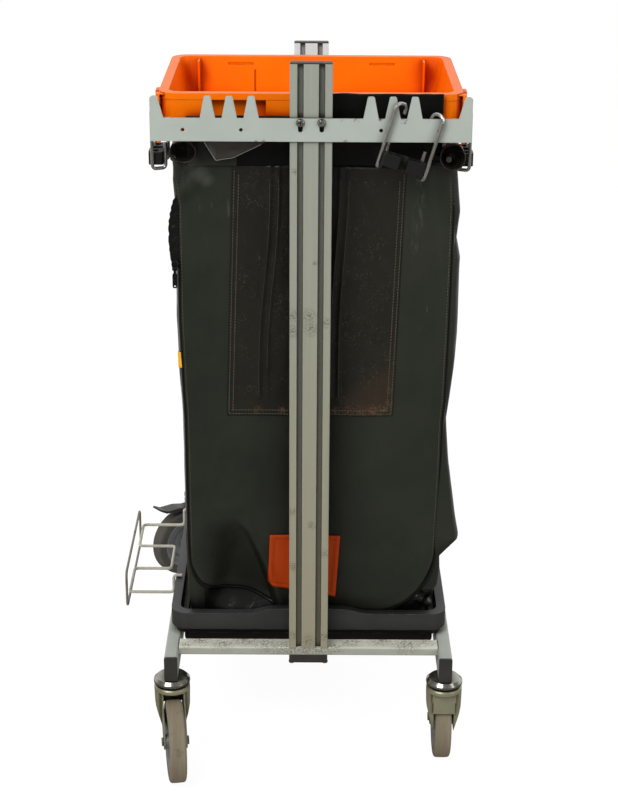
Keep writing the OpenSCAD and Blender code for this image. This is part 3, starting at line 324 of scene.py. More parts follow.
# The cross tubes are paler on faces that look up: dust, and painted light from above.
cross_paint = hard_finish("cross tube paint", colour(160, 162, 150), colour(172, 173, 160),
                          colour(112, 100, 82), colour(110, 98, 78), 0.45, edge_spread=0.9, grime_from=0.62,
                          top_dust_and_light=colour(214, 217, 203), marks=cross_chips, mark=colour(112, 100, 80),
                          fleck=420.0, squash=(0.7, 1, 1))
post_marks = [(-23, 0, 722, 14), (-22, 0, 700, 14), (-2, 0, 722, 15), (3, 0, 704, 16), (22, 0, 712, 10),
              (-24, 0, 420, 9), (4, 0, 398, 9), (-22, 0, 330, 12), (24, 0, 352, 9), (-23, 0, 215, 10),
              (0, 0, 206, 14), (23, 0, 214, 10), (-22, 0, 930, 6), (6, 0, 800, 5)]
post_metal = hard_finish("post aluminium", colour(150, 153, 141), colour(158, 161, 149), colour(128, 124, 108),
                         colour(170, 171, 160), 0.45, metal=0.1, grain=500, stretch=(9, 9, 0.25),
                         grime_from=0.72, corner_dirt_and_shade=colour(44, 40, 31), reach=0.009, marks=post_marks,
                         mark=colour(108, 104, 90), fleck=330.0,
                         low_dust_and_shade=(colour(154, 146, 120), 0.2, 0.95, 0.85))
tooth_chips = [(61, -2, 1002, 5), (93.5, -2, 1004, 5), (126, -2, 1001, 6), (158, -2, 1004, 5),
               (47, -2, 972, 4), (114, -2, 972, 4), (-75, -2, 972, 4), (-64, -2, 972, 4), (40, -2, 1003, 4)]
plate_paint = hard_finish("plate paint", colour(166, 173, 165), colour(173, 180, 172), colour(150, 152, 144),
                          colour(128, 128, 122), 0.4, grime_from=0.76, edge_spread=0.3, corner_dirt_and_shade=colour(120, 118, 108),
                          marks=tooth_chips, mark=colour(44, 38, 32))
# The rear post is given a much paler copy of the aluminium: a painted highlight.
rear_post_highlight_metal = hard_finish("rear post aluminium, painted bright", colour(222, 224, 222), colour(232, 233, 232),
                         colour(190, 190, 184), colour(236, 236, 234), 0.4, grain=500, stretch=(9, 9, 0.25),
                         grime_from=0.74, corner_dirt_and_shade=colour(84, 82, 78), reach=0.009)
dress(frame_paint, "side_tube_left", "side_tube_right")
dress(cross_paint, "front_cross_tube", "rear_cross_tube")
dress(post_metal, "front_post")
dress(rear_post_highlight_metal, "rear_post")
dress(plate_paint, "hook_plate", "tray_arm_left", "tray_arm_right", "hoop_hangers")
print("frame finishes:", frame_paint.name, post_metal.name, plate_paint.name)

# %% [markdown]
# The casters are zinc plated, with a yellow cast on the forks; the heads are polished brighter by
# wear. The clips are bright wire with rubber grips, and the shelf is wire with thin cream paint. One
# metal for all would be quicker, but each of these mirrors the room in its own way.

# %% Metal fittings
zinc = hard_finish("zinc plate", colour(162, 159, 128), colour(180, 178, 150), colour(104, 92, 66),
                   colour(200, 198, 182), 0.36, metal=0.6, grain=700, grime_from=0.6, corner_dirt_and_shade=colour(58, 48, 34),
                   reach=0.008)
head_zinc = hard_finish("polished zinc", colour(150, 150, 138), colour(176, 177, 168), colour(104, 96, 80),
                        colour(222, 222, 214), 0.16, metal=0.95, grain=700, grime_from=0.62,
                        corner_dirt_and_shade=colour(70, 60, 46))
wire_steel = hard_finish("bright wire", colour(182, 180, 172), colour(212, 210, 204), colour(120, 110, 94),
                         colour(224, 223, 218), 0.2, metal=0.9, grain=900, grime_from=0.66)
wire_paint = hard_finish("painted wire", colour(190, 186, 168), colour(204, 200, 184), colour(112, 102, 84),
                         colour(96, 90, 78), 0.4, grain=900, grime_from=0.58, edge_spread=0.8)
guard_paint = hard_finish("worn wire", colour(122, 116, 104), colour(142, 136, 122), colour(84, 74, 60),
                          colour(70, 64, 56), 0.42, grain=900, grime_from=0.56, edge_spread=0.8)
zip_metal = hard_finish("black zip metal", colour(20, 19, 18), colour(30, 29, 28), colour(70, 66, 60),
                        colour(150, 148, 142), 0.22, metal=0.4, grain=1200, grime_from=0.7)
corners = ("front_left", "front_right", "rear_left", "rear_right")
dress(zinc, "post_bolts", "slot_nuts", "caster_nuts", "brake_pin_left", "brake_pin_right",
      *["fork_" + c for c in corners], *["axle_" + c for c in corners])
dress(head_zinc, "caster_heads", "hook_plate_screws")
dress(zip_metal, "zip_slider", "zip_puller")
dress(wire_steel, "clip_wires_front", "clip_wires_left", "clip_wires_right")
dress(wire_paint, "wire_shelf_floor")
dress(guard_paint, "wire_shelf_guard")
print("metal finishes:", zinc.name, head_zinc.name, wire_steel.name, wire_paint.name)

# %% [markdown]
# Plastic and rubber are coloured through. The orange tray is darker in its grooves and corners, painted
# shade, and its edges are a paler yellow, a painted highlight. The base tray is black underneath, painted
# shade under its rim, with paler edges as a painted highlight. The grey tyres are streaked along the way
# that they roll. Stretching the noise does that without a second texture.

# %% Plastic and rubber
dark_plastic = hard_finish("dark plastic", colour(50, 48, 46), colour(57, 56, 54), colour(80, 76, 68),
                           colour(92, 94, 95), 0.42, grain=1500, bump=0.12, grime_from=0.74)
# The base tray turns near black low down and in its corners: painted shade under its rim. Its paler edges are a
# painted highlight.
base_plastic = hard_finish("base tray plastic", colour(48, 48, 47), colour(55, 56, 56), colour(76, 74, 70),
                           colour(104, 106, 106), 0.4, grain=1500, bump=0.12, grime_from=0.76,
                           corner_dirt_and_shade=colour(16, 14, 11), reach=0.03, low_dust_and_shade=(colour(9, 8, 6), 0.199, 0.204, 1.0))
# The orange tray's deep orange in its corners is painted shade, and its yellow edges are a painted highlight.
orange_plastic = hard_finish("orange plastic", colour(255, 114, 0), colour(255, 124, 0), colour(222, 88, 0),
                             colour(255, 150, 12), 0.34, grain=1100, bump=0.04, grime_from=0.74, edge_spread=0.3,
                             corner_dirt_and_shade=colour(184, 42, 0), reach=0.022, shine=0.12)
black_rubber = hard_finish("black rubber", colour(16, 15, 15), colour(23, 22, 21), colour(52, 47, 40),
                           colour(40, 38, 36), 0.5, grain=1400, bump=0.15, grime_from=0.76)
tyre_rubber = hard_finish("tyre rubber", colour(124, 112, 90), colour(138, 128, 110), colour(104, 90, 70),
                          colour(112, 102, 86), 0.75, grain=700, bump=0.2, grime_from=0.6,
                          stretch=(9, 0.8, 0.8), low_dust_and_shade=(colour(108, 92, 70), 0.0, 0.07, 0.7))
hub_plastic = hard_finish("hub plastic", colour(116, 120, 122), colour(128, 132, 134), colour(92, 82, 70),
                          colour(150, 151, 151), 0.42, grain=1000, grime_from=0.6, corner_dirt_and_shade=colour(48, 42, 34),
                          reach=0.008)
dress(dark_plastic, "bag_hoop", "tube_end_plugs", "front_post_cap", "rear_post_cap", "front_post_foot",
      "rear_post_foot", "swivel_bearings", "brake_pedal_left", "brake_pedal_right")
dress(base_plastic, "base_tray")
dress(orange_plastic, "top_tray")
dress(black_rubber, "clip_grip_front", "clip_grip_left", "clip_grip_right")
dark_tyre = hard_finish("dark tyre rubber", colour(74, 70, 65), colour(88, 84, 78), colour(104, 94, 78),
                        colour(112, 106, 96), 0.7, grain=700, bump=0.2, grime_from=0.6)
dress(tyre_rubber, "tyre_front_left", "tyre_front_right")
dress(dark_tyre, "tyre_rear_left", "tyre_rear_right")
dress(hub_plastic, *["hub_" + c for c in corners])
print("hard finishes:", len(bpy.data.materials))

# %% [markdown]
# The bag is coated cloth: almost black with a green cast, shiny where it is pulled tight and dull with
# dust elsewhere. It is painted darker in its hollows and behind the post, as shade, with more painted
# shade in the hollow under the arch, and soft pale spots at the upper left are a painted highlight for
# its glare. Pale scuffs run up and down, and a weave too fine to see from afar goes into the bump with
# soft creases. A picture of cloth would need an unwrapping and would repeat; waves and noise in space
# need none.

# %% Cloth finishes
# The hollow tone is painted shade. The soft spots are a painted highlight on the bag and dirt on the pocket.
hollow_share, hollow_shade_tone, soft_share = 0.85, colour(12, 11, 8), 0.24


def cloth_finish(name, base, faded, dust, rough, crease=0.12, coat=0.12, weave=900.0, haze=None, shade=None,
                 dots=0.0, scuff=0.0, marks=(), mark=None, soft=(), soft_tone=None, hollow=(), shine=0.3,
                 squash=(1, 1, 1), fleck_tall=1.0):
    made = bpy.data.materials.new(name)
    made.use_nodes = True
    tree = made.node_tree
    shader = tree.nodes["Principled BSDF"]
    shader.inputs["Specular IOR Level"].default_value = shine
    shader.inputs["Coat Weight"].default_value = coat
    shader.inputs["Coat Roughness"].default_value = 0.28
    place = place_of(tree)
    shown = mixed(tree, speckle(tree, 6, 0.35, 0.7), base, faded)
    if haze:
        tone, start, end, most = haze
        cloud = sums(tree, "MULTIPLY", ramp(tree, height_of(tree), start, end, 0.0, most),
                     speckle(tree, 26, 0.35, 0.7))
        shown = mixed(tree, cloud, shown, tone)
    # Where the occlusion node finds hollows the colour darkens: painted shade.
    if shade:
        tone, reach = shade
        hidden = add_node(tree, "ShaderNodeAmbientOcclusion", {"samples": 8}, Distance=reach).outputs["AO"]
        shown = mixed(tree, ramp(tree, hidden, 0.92, 0.42), shown, tone)
    if scuff:
        streaks = speckle(tree, 120, 0.64, 0.72, detail=5, stretch=(1, 1, 0.16))
        shown = mixed(tree, sums(tree, "MULTIPLY", streaks, speckle(tree, 7, 0.56, 0.72, 3, rough=0.4)),
                      shown, [v * scuff for v in dust[:3]] + [1.0])
    # Listed spots darken towards the hollow tone: painted shade.
    if hollow:
        shown = mixed(tree, sums(tree, "MULTIPLY", spots_at(tree, hollow), hollow_share), shown, hollow_shade_tone)
    # Listed soft spots take the soft tone: a painted highlight on the bag, dirt on the pocket.
    if soft:
        shown = mixed(tree, sums(tree, "MULTIPLY", spots_at(tree, soft), soft_share), shown, soft_tone)
    if marks:
        flecks = speckle(tree, 300, 0.48, 0.6, detail=7, stretch=(1, 1, fleck_tall), rough=0.7)
        shown = mixed(tree, sums(tree, "MULTIPLY", spots_at(tree, marks, squash), flecks), shown, mark)
    if dots:
        cells = add_node(tree, "ShaderNodeTexVoronoi", Vector=place, Scale=380.0).outputs["Distance"]
        grains = sums(tree, "MULTIPLY", ramp(tree, cells, 0.17, 0.08), speckle(tree, 34, 0.46, 0.6, detail=6))
        shown = mixed(tree, sums(tree, "MULTIPLY", grains, dots), shown, dust)
    tree.links.new(shown, shader.inputs["Base Color"])
    gloss = ramp(tree, speckle(tree, 11, 0.3, 0.7), 0.0, 1.0, rough, rough + 0.14)
    tree.links.new(gloss, shader.inputs["Roughness"])
    across = add_node(tree, "ShaderNodeTexWave", {"bands_direction": "X"}, Vector=place, Scale=weave)
    upward = add_node(tree, "ShaderNodeTexWave", {"bands_direction": "Z"}, Vector=place, Scale=weave)
    thread = sums(tree, "MULTIPLY", across.outputs["Fac"], upward.outputs["Fac"])
    woven = add_node(tree, "ShaderNodeBump", Strength=0.1, Distance=0.0004, Height=thread)
    folds = speckle(tree, 16, 0.25, 0.75, detail=4, stretch=(1, 1, 0.5), rough=0.5)
    creased = add_node(tree, "ShaderNodeBump", Strength=crease, Distance=0.01, Height=folds,
                       Normal=woven.outputs[0])
    tree.links.new(creased.outputs[0], shader.inputs["Normal"])
    return made


deep_shade = (colour(7, 6, 4), 0.075)
# Spots of painted shade in the hollow under the arch.
arch_shade_spots = [(-128, 50, 352, 40), (-120, 55, 326, 58), (-108, 58, 300, 66), (-96, 60, 274, 62),
              (-112, 62, 250, 66)]
# Soft pale spots at the upper left: a painted highlight for the glare on the cloth.
glare_spots = [(-192, 52, 930, 16), (-193, 54, 914, 15), (-193, 55, 898, 14), (-191, 55, 884, 12),
          (-164, 44, 929, 15), (-158, 43, 922, 15), (-152, 43, 915, 15), (-146, 43, 908, 13)]
bag_scuffs = [(156, 47, 890, 9), (151, 47, 855, 10), (147, 48, 822, 9)]
bag_cloth = cloth_finish("bag cloth", colour(34, 37, 29), colour(44, 47, 37), colour(104, 104, 92), 0.38,
                         crease=0.2, shade=deep_shade, scuff=0.9, dots=0.12, hollow=arch_shade_spots, soft=glare_spots,
                         soft_tone=colour(112, 114, 104), marks=bag_scuffs, mark=colour(78, 81, 72),
                         squash=(1, 1, 0.3), fleck_tall=0.2)
# The hem is near black as painted shade under the plate.
shade_black_cloth = cloth_finish("black hem as painted shade", colour(5, 5, 4), colour(9, 8, 7), colour(40, 34, 28), 0.34, coat=0.05,
                           shine=0.2)
pale_cloth = cloth_finish("folded lining", colour(46, 42, 36), colour(60, 55, 48), colour(110, 102, 88), 0.3,
                          coat=0.3)
# The black liner is real at the crumpled right, and painted shade further left under the tray's rim.
liner_and_shade_film = cloth_finish("black liner and painted shade", colour(8, 8, 7), colour(14, 14, 12), colour(50, 48, 44), 0.14,
                          crease=0.5, coat=0.4, shade=deep_shade)
rust_dirt = [(58, 50, 562, 12), (76, 50, 561, 13), (92, 50, 562, 14), (106, 50, 563, 13), (116, 50, 574, 9),
             (116, 50, 594, 8), (38, 50, 561, 10), (20, 50, 560, 9), (-40, 50, 562, 10), (-75, 50, 563, 10)]
rust_glow = [(96, 50, 580, 46), (76, 50, 572, 36), (108, 50, 604, 34)]
# The pocket is darkened by occlusion near the post, as painted shade; its haze, grains and rust are dirt.
pocket_film = cloth_finish("pocket film", colour(26, 26, 20), colour(34, 33, 26), colour(150, 144, 126), 0.28,
                           crease=0.14, coat=0.2, haze=(colour(46, 40, 29), 0.9, 0.54, 0.5), shade=deep_shade,
                           dots=0.8, marks=rust_dirt, mark=colour(122, 84, 54), soft=rust_glow,
                           soft_tone=colour(84, 58, 38))
patch_cloth = cloth_finish("patch cloth", colour(160, 50, 0), colour(174, 60, 0), colour(150, 60, 8), 0.42,
                           crease=0.1, coat=0.0, shine=0.15)
zip_cloth = cloth_finish("zip tape", colour(8, 7, 7), colour(13, 12, 11), colour(60, 56, 50), 0.26, crease=0.3,
                         coat=0.4)
tab_cloth = cloth_finish("yellow tape", colour(236, 176, 0), colour(244, 190, 4), colour(190, 150, 30), 0.5,
                         crease=0.05, coat=0.05)
thread_tan = hard_finish("sewing thread", colour(84, 80, 64), colour(104, 98, 80), colour(60, 56, 44),
                         colour(112, 104, 86), 0.7, grain=2000)
print("cloth finishes ready")

# %% [markdown]
# One function says how far the front of the hanging bag swells from its flat pattern. The bag, the
# door, the zip, the pocket and the patch all read it, so that they lie on each other like real cloth.
# The load has pushed the bag to the right, so its two edges are given as lines of their own. The hollow
# under an arch at the lower left is where the door has been pushed in. The bag could be sculpted or
# simulated, but then each piece on it would have to be fitted again after every change.

# %% Shape of the hanging bag
bag_top, bag_bottom = 942.0, 180.3
front_top, front_bottom = 45.0, 58.0
back_top, back_bottom = 335.0, 323.0
front_r, back_r = 12.0, 25.0
left_line = ((942, -195), (905, -196), (885, -193), (870, -191), (700, -191), (590, -188), (548, -186),
             (340, -185.2), (250, -183), (180, -181))
right_line = ((942, 198), (920, 203), (863, 205.5), (784, 205.2), (676, 204), (577, 202), (545, 199.6),
              (471, 199), (403, 197.6), (347, 196), (300, 196.5), (266, 193), (238, 186), (180, 184))


def along(line, z):
    for (high, more), (low, less) in zip(line, line[1:]):
        if z >= low:
            return less + (more - less) * min((z - low) / (high - low), 1.0)
    return line[-1][1]


def left_edge(z):
    return along(left_line, z)


def right_edge(z):
    return along(right_line, z)


def fade(value, start, end):
    share = min(max((value - start) / (end - start), 0.0), 1.0)
    return share * share * (3 - 2 * share)


def hill(value, middle, width):
    return math.exp(-(((value - middle) / width) ** 2))


def drop(z):
    return (bag_top - z) / (bag_top - bag_bottom)


def belly(z):
    return math.sin(math.pi * min(max(drop(z), 0.0), 1.0))


def ripple(x, z, scale, seed):
    return noise.noise(Vector((x / scale, z / scale, seed)))


def arch_hollow(x, z):
    below = max(394.0 - z, 0.0)
    left = -122 - 36 * (below / 81) ** 0.55
    right = -122 + 56 * (below / 89) ** 0.55
    inside = fade(x, left, left + 48) * fade(x, right + 3, right - 13) * fade(below, 0, 34)
    lip = hill(x, right + 6, 6) * fade(below, 4, 30) + 0.7 * hill(z, 403, 8) * hill(x, -122, 22)
    return (24 * inside * (0.4 + 0.6 * fade(below, 10, 120)) - 2.4 * lip) * fade(z, 205, 258)


def front_swell(x, z):
    swell = 4.0 * belly(z) * (1 - (x / 215) ** 2)
    swell += 1.4 * ripple(x * 1.6, z * 0.4, 60, 1.7) + 0.6 * ripple(x * 2, z, 34, 5.1)
    swell -= arch_hollow(x, z)
    across, down = (x + 150 - z + 918) / 1.41, (x + 150 + z - 918) / 1.41
    swell += 5.0 * hill(across, 0, 10) * fade(down, -80, -40) * fade(down, 22, -6)
    swell += 2.2 * math.sin(x / 2.4) * fade(x, -168, -180) * fade(z, 868, 905)
    swell += 2.6 * hill(x + (z - 900) * 0.12, 166, 8) * fade(z, 700, 800)
    return swell - 5 * fade(z, 262, 205)


def front_at(x, z, out):
    over = max(x - right_edge(z) + front_r, left_edge(z) + front_r - x, 0.0)
    turned = front_r - math.sqrt(max(front_r ** 2 - min(over, front_r) ** 2, 0.0))
    flat = front_top + (front_bottom - front_top) * drop(z)
    return on_cart(x, flat + turned - front_swell(x, z) * (1 - 0.7 * min(over / front_r, 1.0)) - out, z)


print("front at the middle:", tuple(round(v, 4) for v in front_at(0, 600, 0)))

# %% [markdown]
# A cloth piece is a grid of points joined into quads. Solidify gives it the thickness of the material,
# and smooth shading hides the grid. A plane with modifiers would also do; a list of rows lets each edge
# follow its own line.

# %% A helper for cloth grids
def cloth_grid(name, rows, finish, thick=0.0, ring=False, offset=1.0):
    count = len(rows[0])
    points = [p for row in rows for p in row]
    quads = []
    for r in range(len(rows) - 1):
        for c in range(count if ring else count - 1):
            d = (c + 1) % count
            quads.append((r * count + c, r * count + d, (r + 1) * count + d, (r + 1) * count + c))
    mesh = bpy.data.meshes.new(name)
    mesh.from_pydata(points, [], quads)
    mesh.polygons.foreach_set("use_smooth", [True] * len(quads))
    mesh.materials.append(finish)
    made = bpy.data.objects.new(name, mesh)
    scene.collection.objects.link(made)
    if thick:
        body = made.modifiers.new("thickness", "SOLIDIFY")
        body.thickness = thick / 1000
        body.offset = offset
    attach(made, "cart")
    return made


def area_of(piece):
    return sum(face.area for face in piece.data.polygons)


print("cloth helper ready")

# %% [markdown]
# The bag itself is one lofted shell: a rounded outline repeated from the floor of the tray to the
# hoop. Each point moves in or out by the swell of its own side, and the floor closes the bottom. The
# right side sags outwards, and ends in a pleat that sticks out like a wing above the tray. Below the
# door a black liner shows, crumpled at the right; further left the same black is painted shade under the
# tray's rim. A box under a subdivision modifier would be rounder than this; a loft keeps the outline at
# every height in hand.

# %% Waste bag
def outline_point(s, z):
    left, right = left_edge(z) - 1, right_edge(z) + 1
    near = front_top + (front_bottom - front_top) * drop(z)
    far = back_top + (back_bottom - back_top) * drop(z)
    side_run = far - near - front_r - back_r
    front_run, back_run = right - left - 2 * front_r, right - left - 2 * back_r
    sides = (
        (front_run, (left + front_r, near), (1, 0), (right - front_r, near + front_r), -90, front_r),
        (side_run, (right, near + front_r), (0, 1), (right - back_r, far - back_r), 0, back_r),
        (back_run, (right - back_r, far), (-1, 0), (left + back_r, far - back_r), 90, back_r),
        (side_run, (left, far - back_r), (0, -1), (left + front_r, near + front_r), 180, front_r),
    )
    at = s * sum(length + math.pi * r / 2 for length, _, _, _, _, r in sides)
    for length, start, way, centre, angle, r in sides:
        if at <= length:
            return start[0] + way[0] * at, start[1] + way[1] * at, way[1], -way[0]
        at -= length
        if at <= math.pi * r / 2:
            turn = math.radians(angle) + at / r
            nx, ny = math.cos(turn), math.sin(turn)
            return centre[0] + r * nx, centre[1] + r * ny, nx, ny
        at -= math.pi * r / 2
    return left + front_r, near, 0.0, -1.0


right_sag = ((942, 0), (925, 2), (858, 6), (821, 1), (789, 8), (640, 7), (560, 3), (545, 2), (471, 8),
             (403, 19), (351, 29), (345, 28), (318, 1), (262, 2), (225, -3))


def side_swell(y, z, nx):
    swell = 1.8 * ripple(y * 1.4, z * 0.5, 70, 9.3) + 0.8 * ripple(y * 2, z, 40, 2.2)
    if nx > 0:
        swell += along(right_sag, z) * (0.3 + 0.7 * hill(y, 78, 40)) + 1.5 * ripple(y * 3, z * 0.3, 40, 6.6)
    else:
        swell += 3.0 * belly(z) * fade(y, 60, 160) - 4 * fade(z, 840, 935)
    return swell - 4 * fade(z, 262, 205)


def bag_point(s, z):
    x, y, nx, ny = outline_point(s, z)
    front, side, back = max(-ny, 0.0) ** 2, nx * nx, max(ny, 0.0) ** 2
    push = front * (front_swell(x, z) - 1.2) + side * side_swell(y, z, nx)
    push += back * (4 * belly(z) + 2 * ripple(x, z * 0.5, 80, 4.4) - 4 * fade(z, 262, 205))
    crumple = fade(x, 140, 172) * fade(z, 272, 258) * fade(z, 208, 228) * fade(y, 130, 90)
    push += crumple * (10 * ripple(x * 1.5, z * 1.2, 14, 3.7) + 6 * ripple(x, z * 2, 8, 7.9) - 1)
    push *= fade(z, 948, 915)
    return on_cart(x + nx * push, y + ny * push, z)


bag_steps, around = 190, 300
heights = [bag_bottom + (bag_top - bag_bottom) * i / bag_steps for i in range(bag_steps + 1)]
walls = [[bag_point(c / around, z) for c in range(around)] for z in heights]
base_rows = []
for reach in (0.02, 0.3, 0.6, 0.85, 0.96):
    base_rows.append([on_cart(0, 190, bag_bottom).lerp(p, reach) for p in walls[0]])
waste_bag = cloth_grid("hanging_bag", base_rows + walls, bag_cloth, 1.4, ring=True, offset=-1)
waste_bag.data.materials.append(liner_and_shade_film)
# Faces low at the front take the black liner: a real liner at the right, painted shade under the rim to its
# left.
liner_left, liner_back, liner_top = on_cart(-160, 150, 264)
for face in waste_bag.data.polygons:
    if face.center.x > liner_left and face.center.y < liner_back and face.center.z < liner_top:
        face.material_index = 1
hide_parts("waste_bag")
print("bag points:", len(waste_bag.data.vertices))

# %% [markdown]
# The top edge of the bag is sewn into sleeves that slide on the hoop. A sleeve is a ring of points
# carried along the rod, puckered a little, where a curve with a round bevel would stay a smooth pipe. At
# the front the cloth is rolled up, and each roll ends in an open mouth, so the ring turns inside itself.

# %% Sleeves on the hoop
hoop_x, hoop_z = 190.0, 942.0


def sleeve(name, line, r, finish):
    rows = []
    for i, (x, y, z) in enumerate(line):
        ahead = (Vector(line[min(i + 1, len(line) - 1)]) - Vector(line[max(i - 1, 0)])).normalized()
        across = ahead.cross(Vector((0, 0, 1))).normalized()
        ring = []
        for k in range(28):
            a = 2 * math.pi * k / 28
            wide = r * (1 + 0.06 * noise.noise(Vector((x / 16, y / 16, k / 4.0))))
            lift = Vector((0, 0, wide * math.sin(a)))
            ring.append(on_cart(*(Vector((x, y, z)) + across * (wide * math.cos(a)) + lift)))
        rows.append(ring)
    return cloth_grid(name, rows, finish, ring=True)


def rolled_end(name, x, z, wide, tall, finish):
    mouth = ((54, 0.45), (50, 0.8), (42, 0.97), (32, 1.0), (24, 1.01), (19, 1.03), (18.2, 1.0), (18.4, 0.95),
             (22, 0.91), (30, 0.86), (40, 0.7), (46, 0.4), (48, 0.06))
    rows = []
    for y, size in mouth:
        ring = []
        for k in range(48):
            a = 2 * math.pi * k / 48
            r = size * (1 + 0.07 * noise.noise(Vector((2 * math.cos(a), 2 * math.sin(a), x / 50 + y / 40))))
            ring.append(on_cart(x + wide * r * math.cos(a), y, z + tall * r * math.sin(a)))
        rows.append(ring)
    return cloth_grid(name, rows, finish, ring=True)


for sign, word in ((-1, "left"), (1, "right")):
    for i, (start, end) in enumerate(((50, 147), (153, 259), (265, 300))):
        run = [(sign * hoop_x, start + (end - start) * k / 24, hoop_z) for k in range(25)]
        sleeve(f"{word}_sleeve_{i + 1}", run, 7.6, bag_cloth)
sleeve("rear_sleeve", [(-164 + 328 * k / 40, 327, hoop_z) for k in range(41)], 7.6, bag_cloth)
roll_cloth = cloth_finish("rolled cloth", colour(30, 25, 21), colour(44, 38, 32), colour(96, 88, 76), 0.3,
                          coat=0.25)
rolled_end("right_rolled_end", 195, 946, 17.5, 18.5, roll_cloth)
rolled_end("left_rolled_end", -176, 952, 18, 15, roll_cloth)

# %% [markdown]
# Above the hoop the front hem is loose, and it is near black as painted shade under the plate. On the
# right it stands up behind the teeth of the plate, as high as the tray's rim; left of the pocket the bag's own
# cloth runs up behind the plate.
# Each is one sheet whose upper and lower edges change along its width. They could be part of the bag's
# mesh, but they lie in front of it as pieces of their own.

# %% Front hem
def hem_top(x):
    return 1000 + 31 * fade(x, 4, 24) + 0.8 * ripple(x, 0, 30, 8.8)


def hem_low(x):
    return 928 + 20 * fade(x, 150, 180)


def hem_sheet(name, start, end, lift, finish):
    rows = []
    for i in range(41):
        row = []
        for c in range(121):
            x = start + (end - start) * c / 120
            z = hem_low(x) + (hem_top(x) - hem_low(x)) * i / 40
            loose = fade(z, 950, 985)
            wave = 1.4 * ripple(x * 1.3, z * 0.5, 26, 3.3) - 1.6 * hill(x, 168, 6)
            y = front_top - lift - 8.2 * loose + loose * wave - front_swell(x, z) * (1 - loose)
            row.append(on_cart(x, y, z))
        rows.append(row)
    return cloth_grid(name, rows, finish, 1.0)


front_hem = hem_sheet("front_hem", -108, 181, 3.4, shade_black_cloth)
side_hem = hem_sheet("side_hem", -172, -103, 4.6, bag_cloth)
print("hem cloth:", round(area_of(front_hem), 4), round(area_of(side_hem), 4), "square metres")

# %% [markdown]
# Left of the post a corner of the hem is folded over and shows the paler back of the cloth, with a
# bright worn edge. It hangs from behind the plate to a blunt point. The edge is a thin round along the
# sheet's first row, because a bright line in the material would not catch the light.

# %% Folded corner
def corner_low(x):
    if x < -131:
        return 939 + (-131 - x) * 1.64
    if x < -109:
        return 939 + (x + 131) * 0.14
    return 942 + (x + 109) * 0.49


corner_rows = []
for i in range(21):
    row = []
    for c in range(61):
        x = -160 + 98 * c / 60
        low = corner_low(x)
        up = i / 20
        z = low + (996 - low) * up
        y = 35 - 9 * (1 - up) ** 1.5 + 1.2 * ripple(x, z, 18, 4.9) + 2.5 * hill(x, -112, 16) * (1 - up)
        row.append(on_cart(x, y, z))
    corner_rows.append(row)
folded_corner = cloth_grid("folded_corner", corner_rows, pale_cloth, 0.8)


def thin_round(name, line, r, finish):
    rows = []
    for i, p in enumerate(line):
        ahead = (line[min(i + 1, len(line) - 1)] - line[max(i - 1, 0)]).normalized()
        side = ahead.cross(Vector((0, 1, 0))).normalized()
        up = side.cross(ahead)
        turns = [k * math.pi / 4 for k in range(8)]
        rows.append([p + side * (r * math.cos(a)) + up * (r * math.sin(a)) for a in turns])
    return cloth_grid(name, rows, finish, ring=True)


worn_edge = hard_finish("worn cloth edge", colour(118, 114, 106), colour(150, 148, 140), colour(70, 66, 58),
                        colour(190, 189, 184), 0.4, grain=1500)
corner_edge = thin_round("folded_corner_edge", corner_rows[0][8:-4], 0.0008, worn_edge)
print("folded corner:", round(area_of(folded_corner), 4), "square metres")

# %% [markdown]
# The door is the whole front of the bag: a panel with round lower corners, the right one larger. Its
# lower edge has slipped down to the right, behind the tray's rim. Columns of points run from that edge
# to the top, closer together at the sides where the edge is steep. Cutting a square sheet with a boolean
# would leave long thin faces at the corners.

# %% Door
door_top, door_inset = 934.0, 6.5
door_left, door_width = -185.5, 381.5
left_corner = (-115.0, 334.0, 70.5, 80.0, 2.3)
right_corner = (105.0, 335.0, 91.0, 113.0, 1.75)


def corner_rise(share, power):
    return max(1 - min(share, 1.0) ** power, 0.0) ** (1 / power)


def door_low(x, inset):
    if x < left_corner[0]:
        cx, cz, wide, tall, power = left_corner
        return cz - (tall - inset) * corner_rise((cx - x) / (wide - inset), power)
    if x > right_corner[0]:
        cx, cz, wide, tall, power = right_corner
        return cz - (tall - inset) * corner_rise((x - cx) / (wide - inset), power)
    return 254 + inset - 32 * fade(x, -108, -24)


door_rows = []
for i in range(131):
    row = []
    for c in range(141):
        u = (1 + math.sin(math.pi / 2 * (2 * c / 140 - 1))) / 2
        foot = door_left + door_inset + u * (door_width - 2 * door_inset)
        low = door_low(foot, door_inset)
        z = low + (door_top - low) * (i / 130) ** 1.15
        left, right = left_edge(z) + door_inset, right_edge(z) - door_inset
        x = foot + (left + (right - left) * u - foot) * fade(z, 334, 350)
        row.append(front_at(x, z, 1.0 + 2.0 * fade(z - low, 16, 0)))
    door_rows.append(row)
bag_door = cloth_grid("bag_door_cloth", door_rows, bag_cloth, 1.2)
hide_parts("bag_door")
print("door cloth:", round(area_of(bag_door), 4), "square metres")

# %% [markdown]
# The zip follows the door's edge. Its tape is a narrow strip, and its teeth are small blocks set along
# the strip, each turned with the line. Rows of stitches are made by the same helper. An array modifier
# along a curve is the usual way; here each block has to lie on the swollen front, so it is placed in code.

# %% Zip and seams
left_foot, right_foot = 345, 346


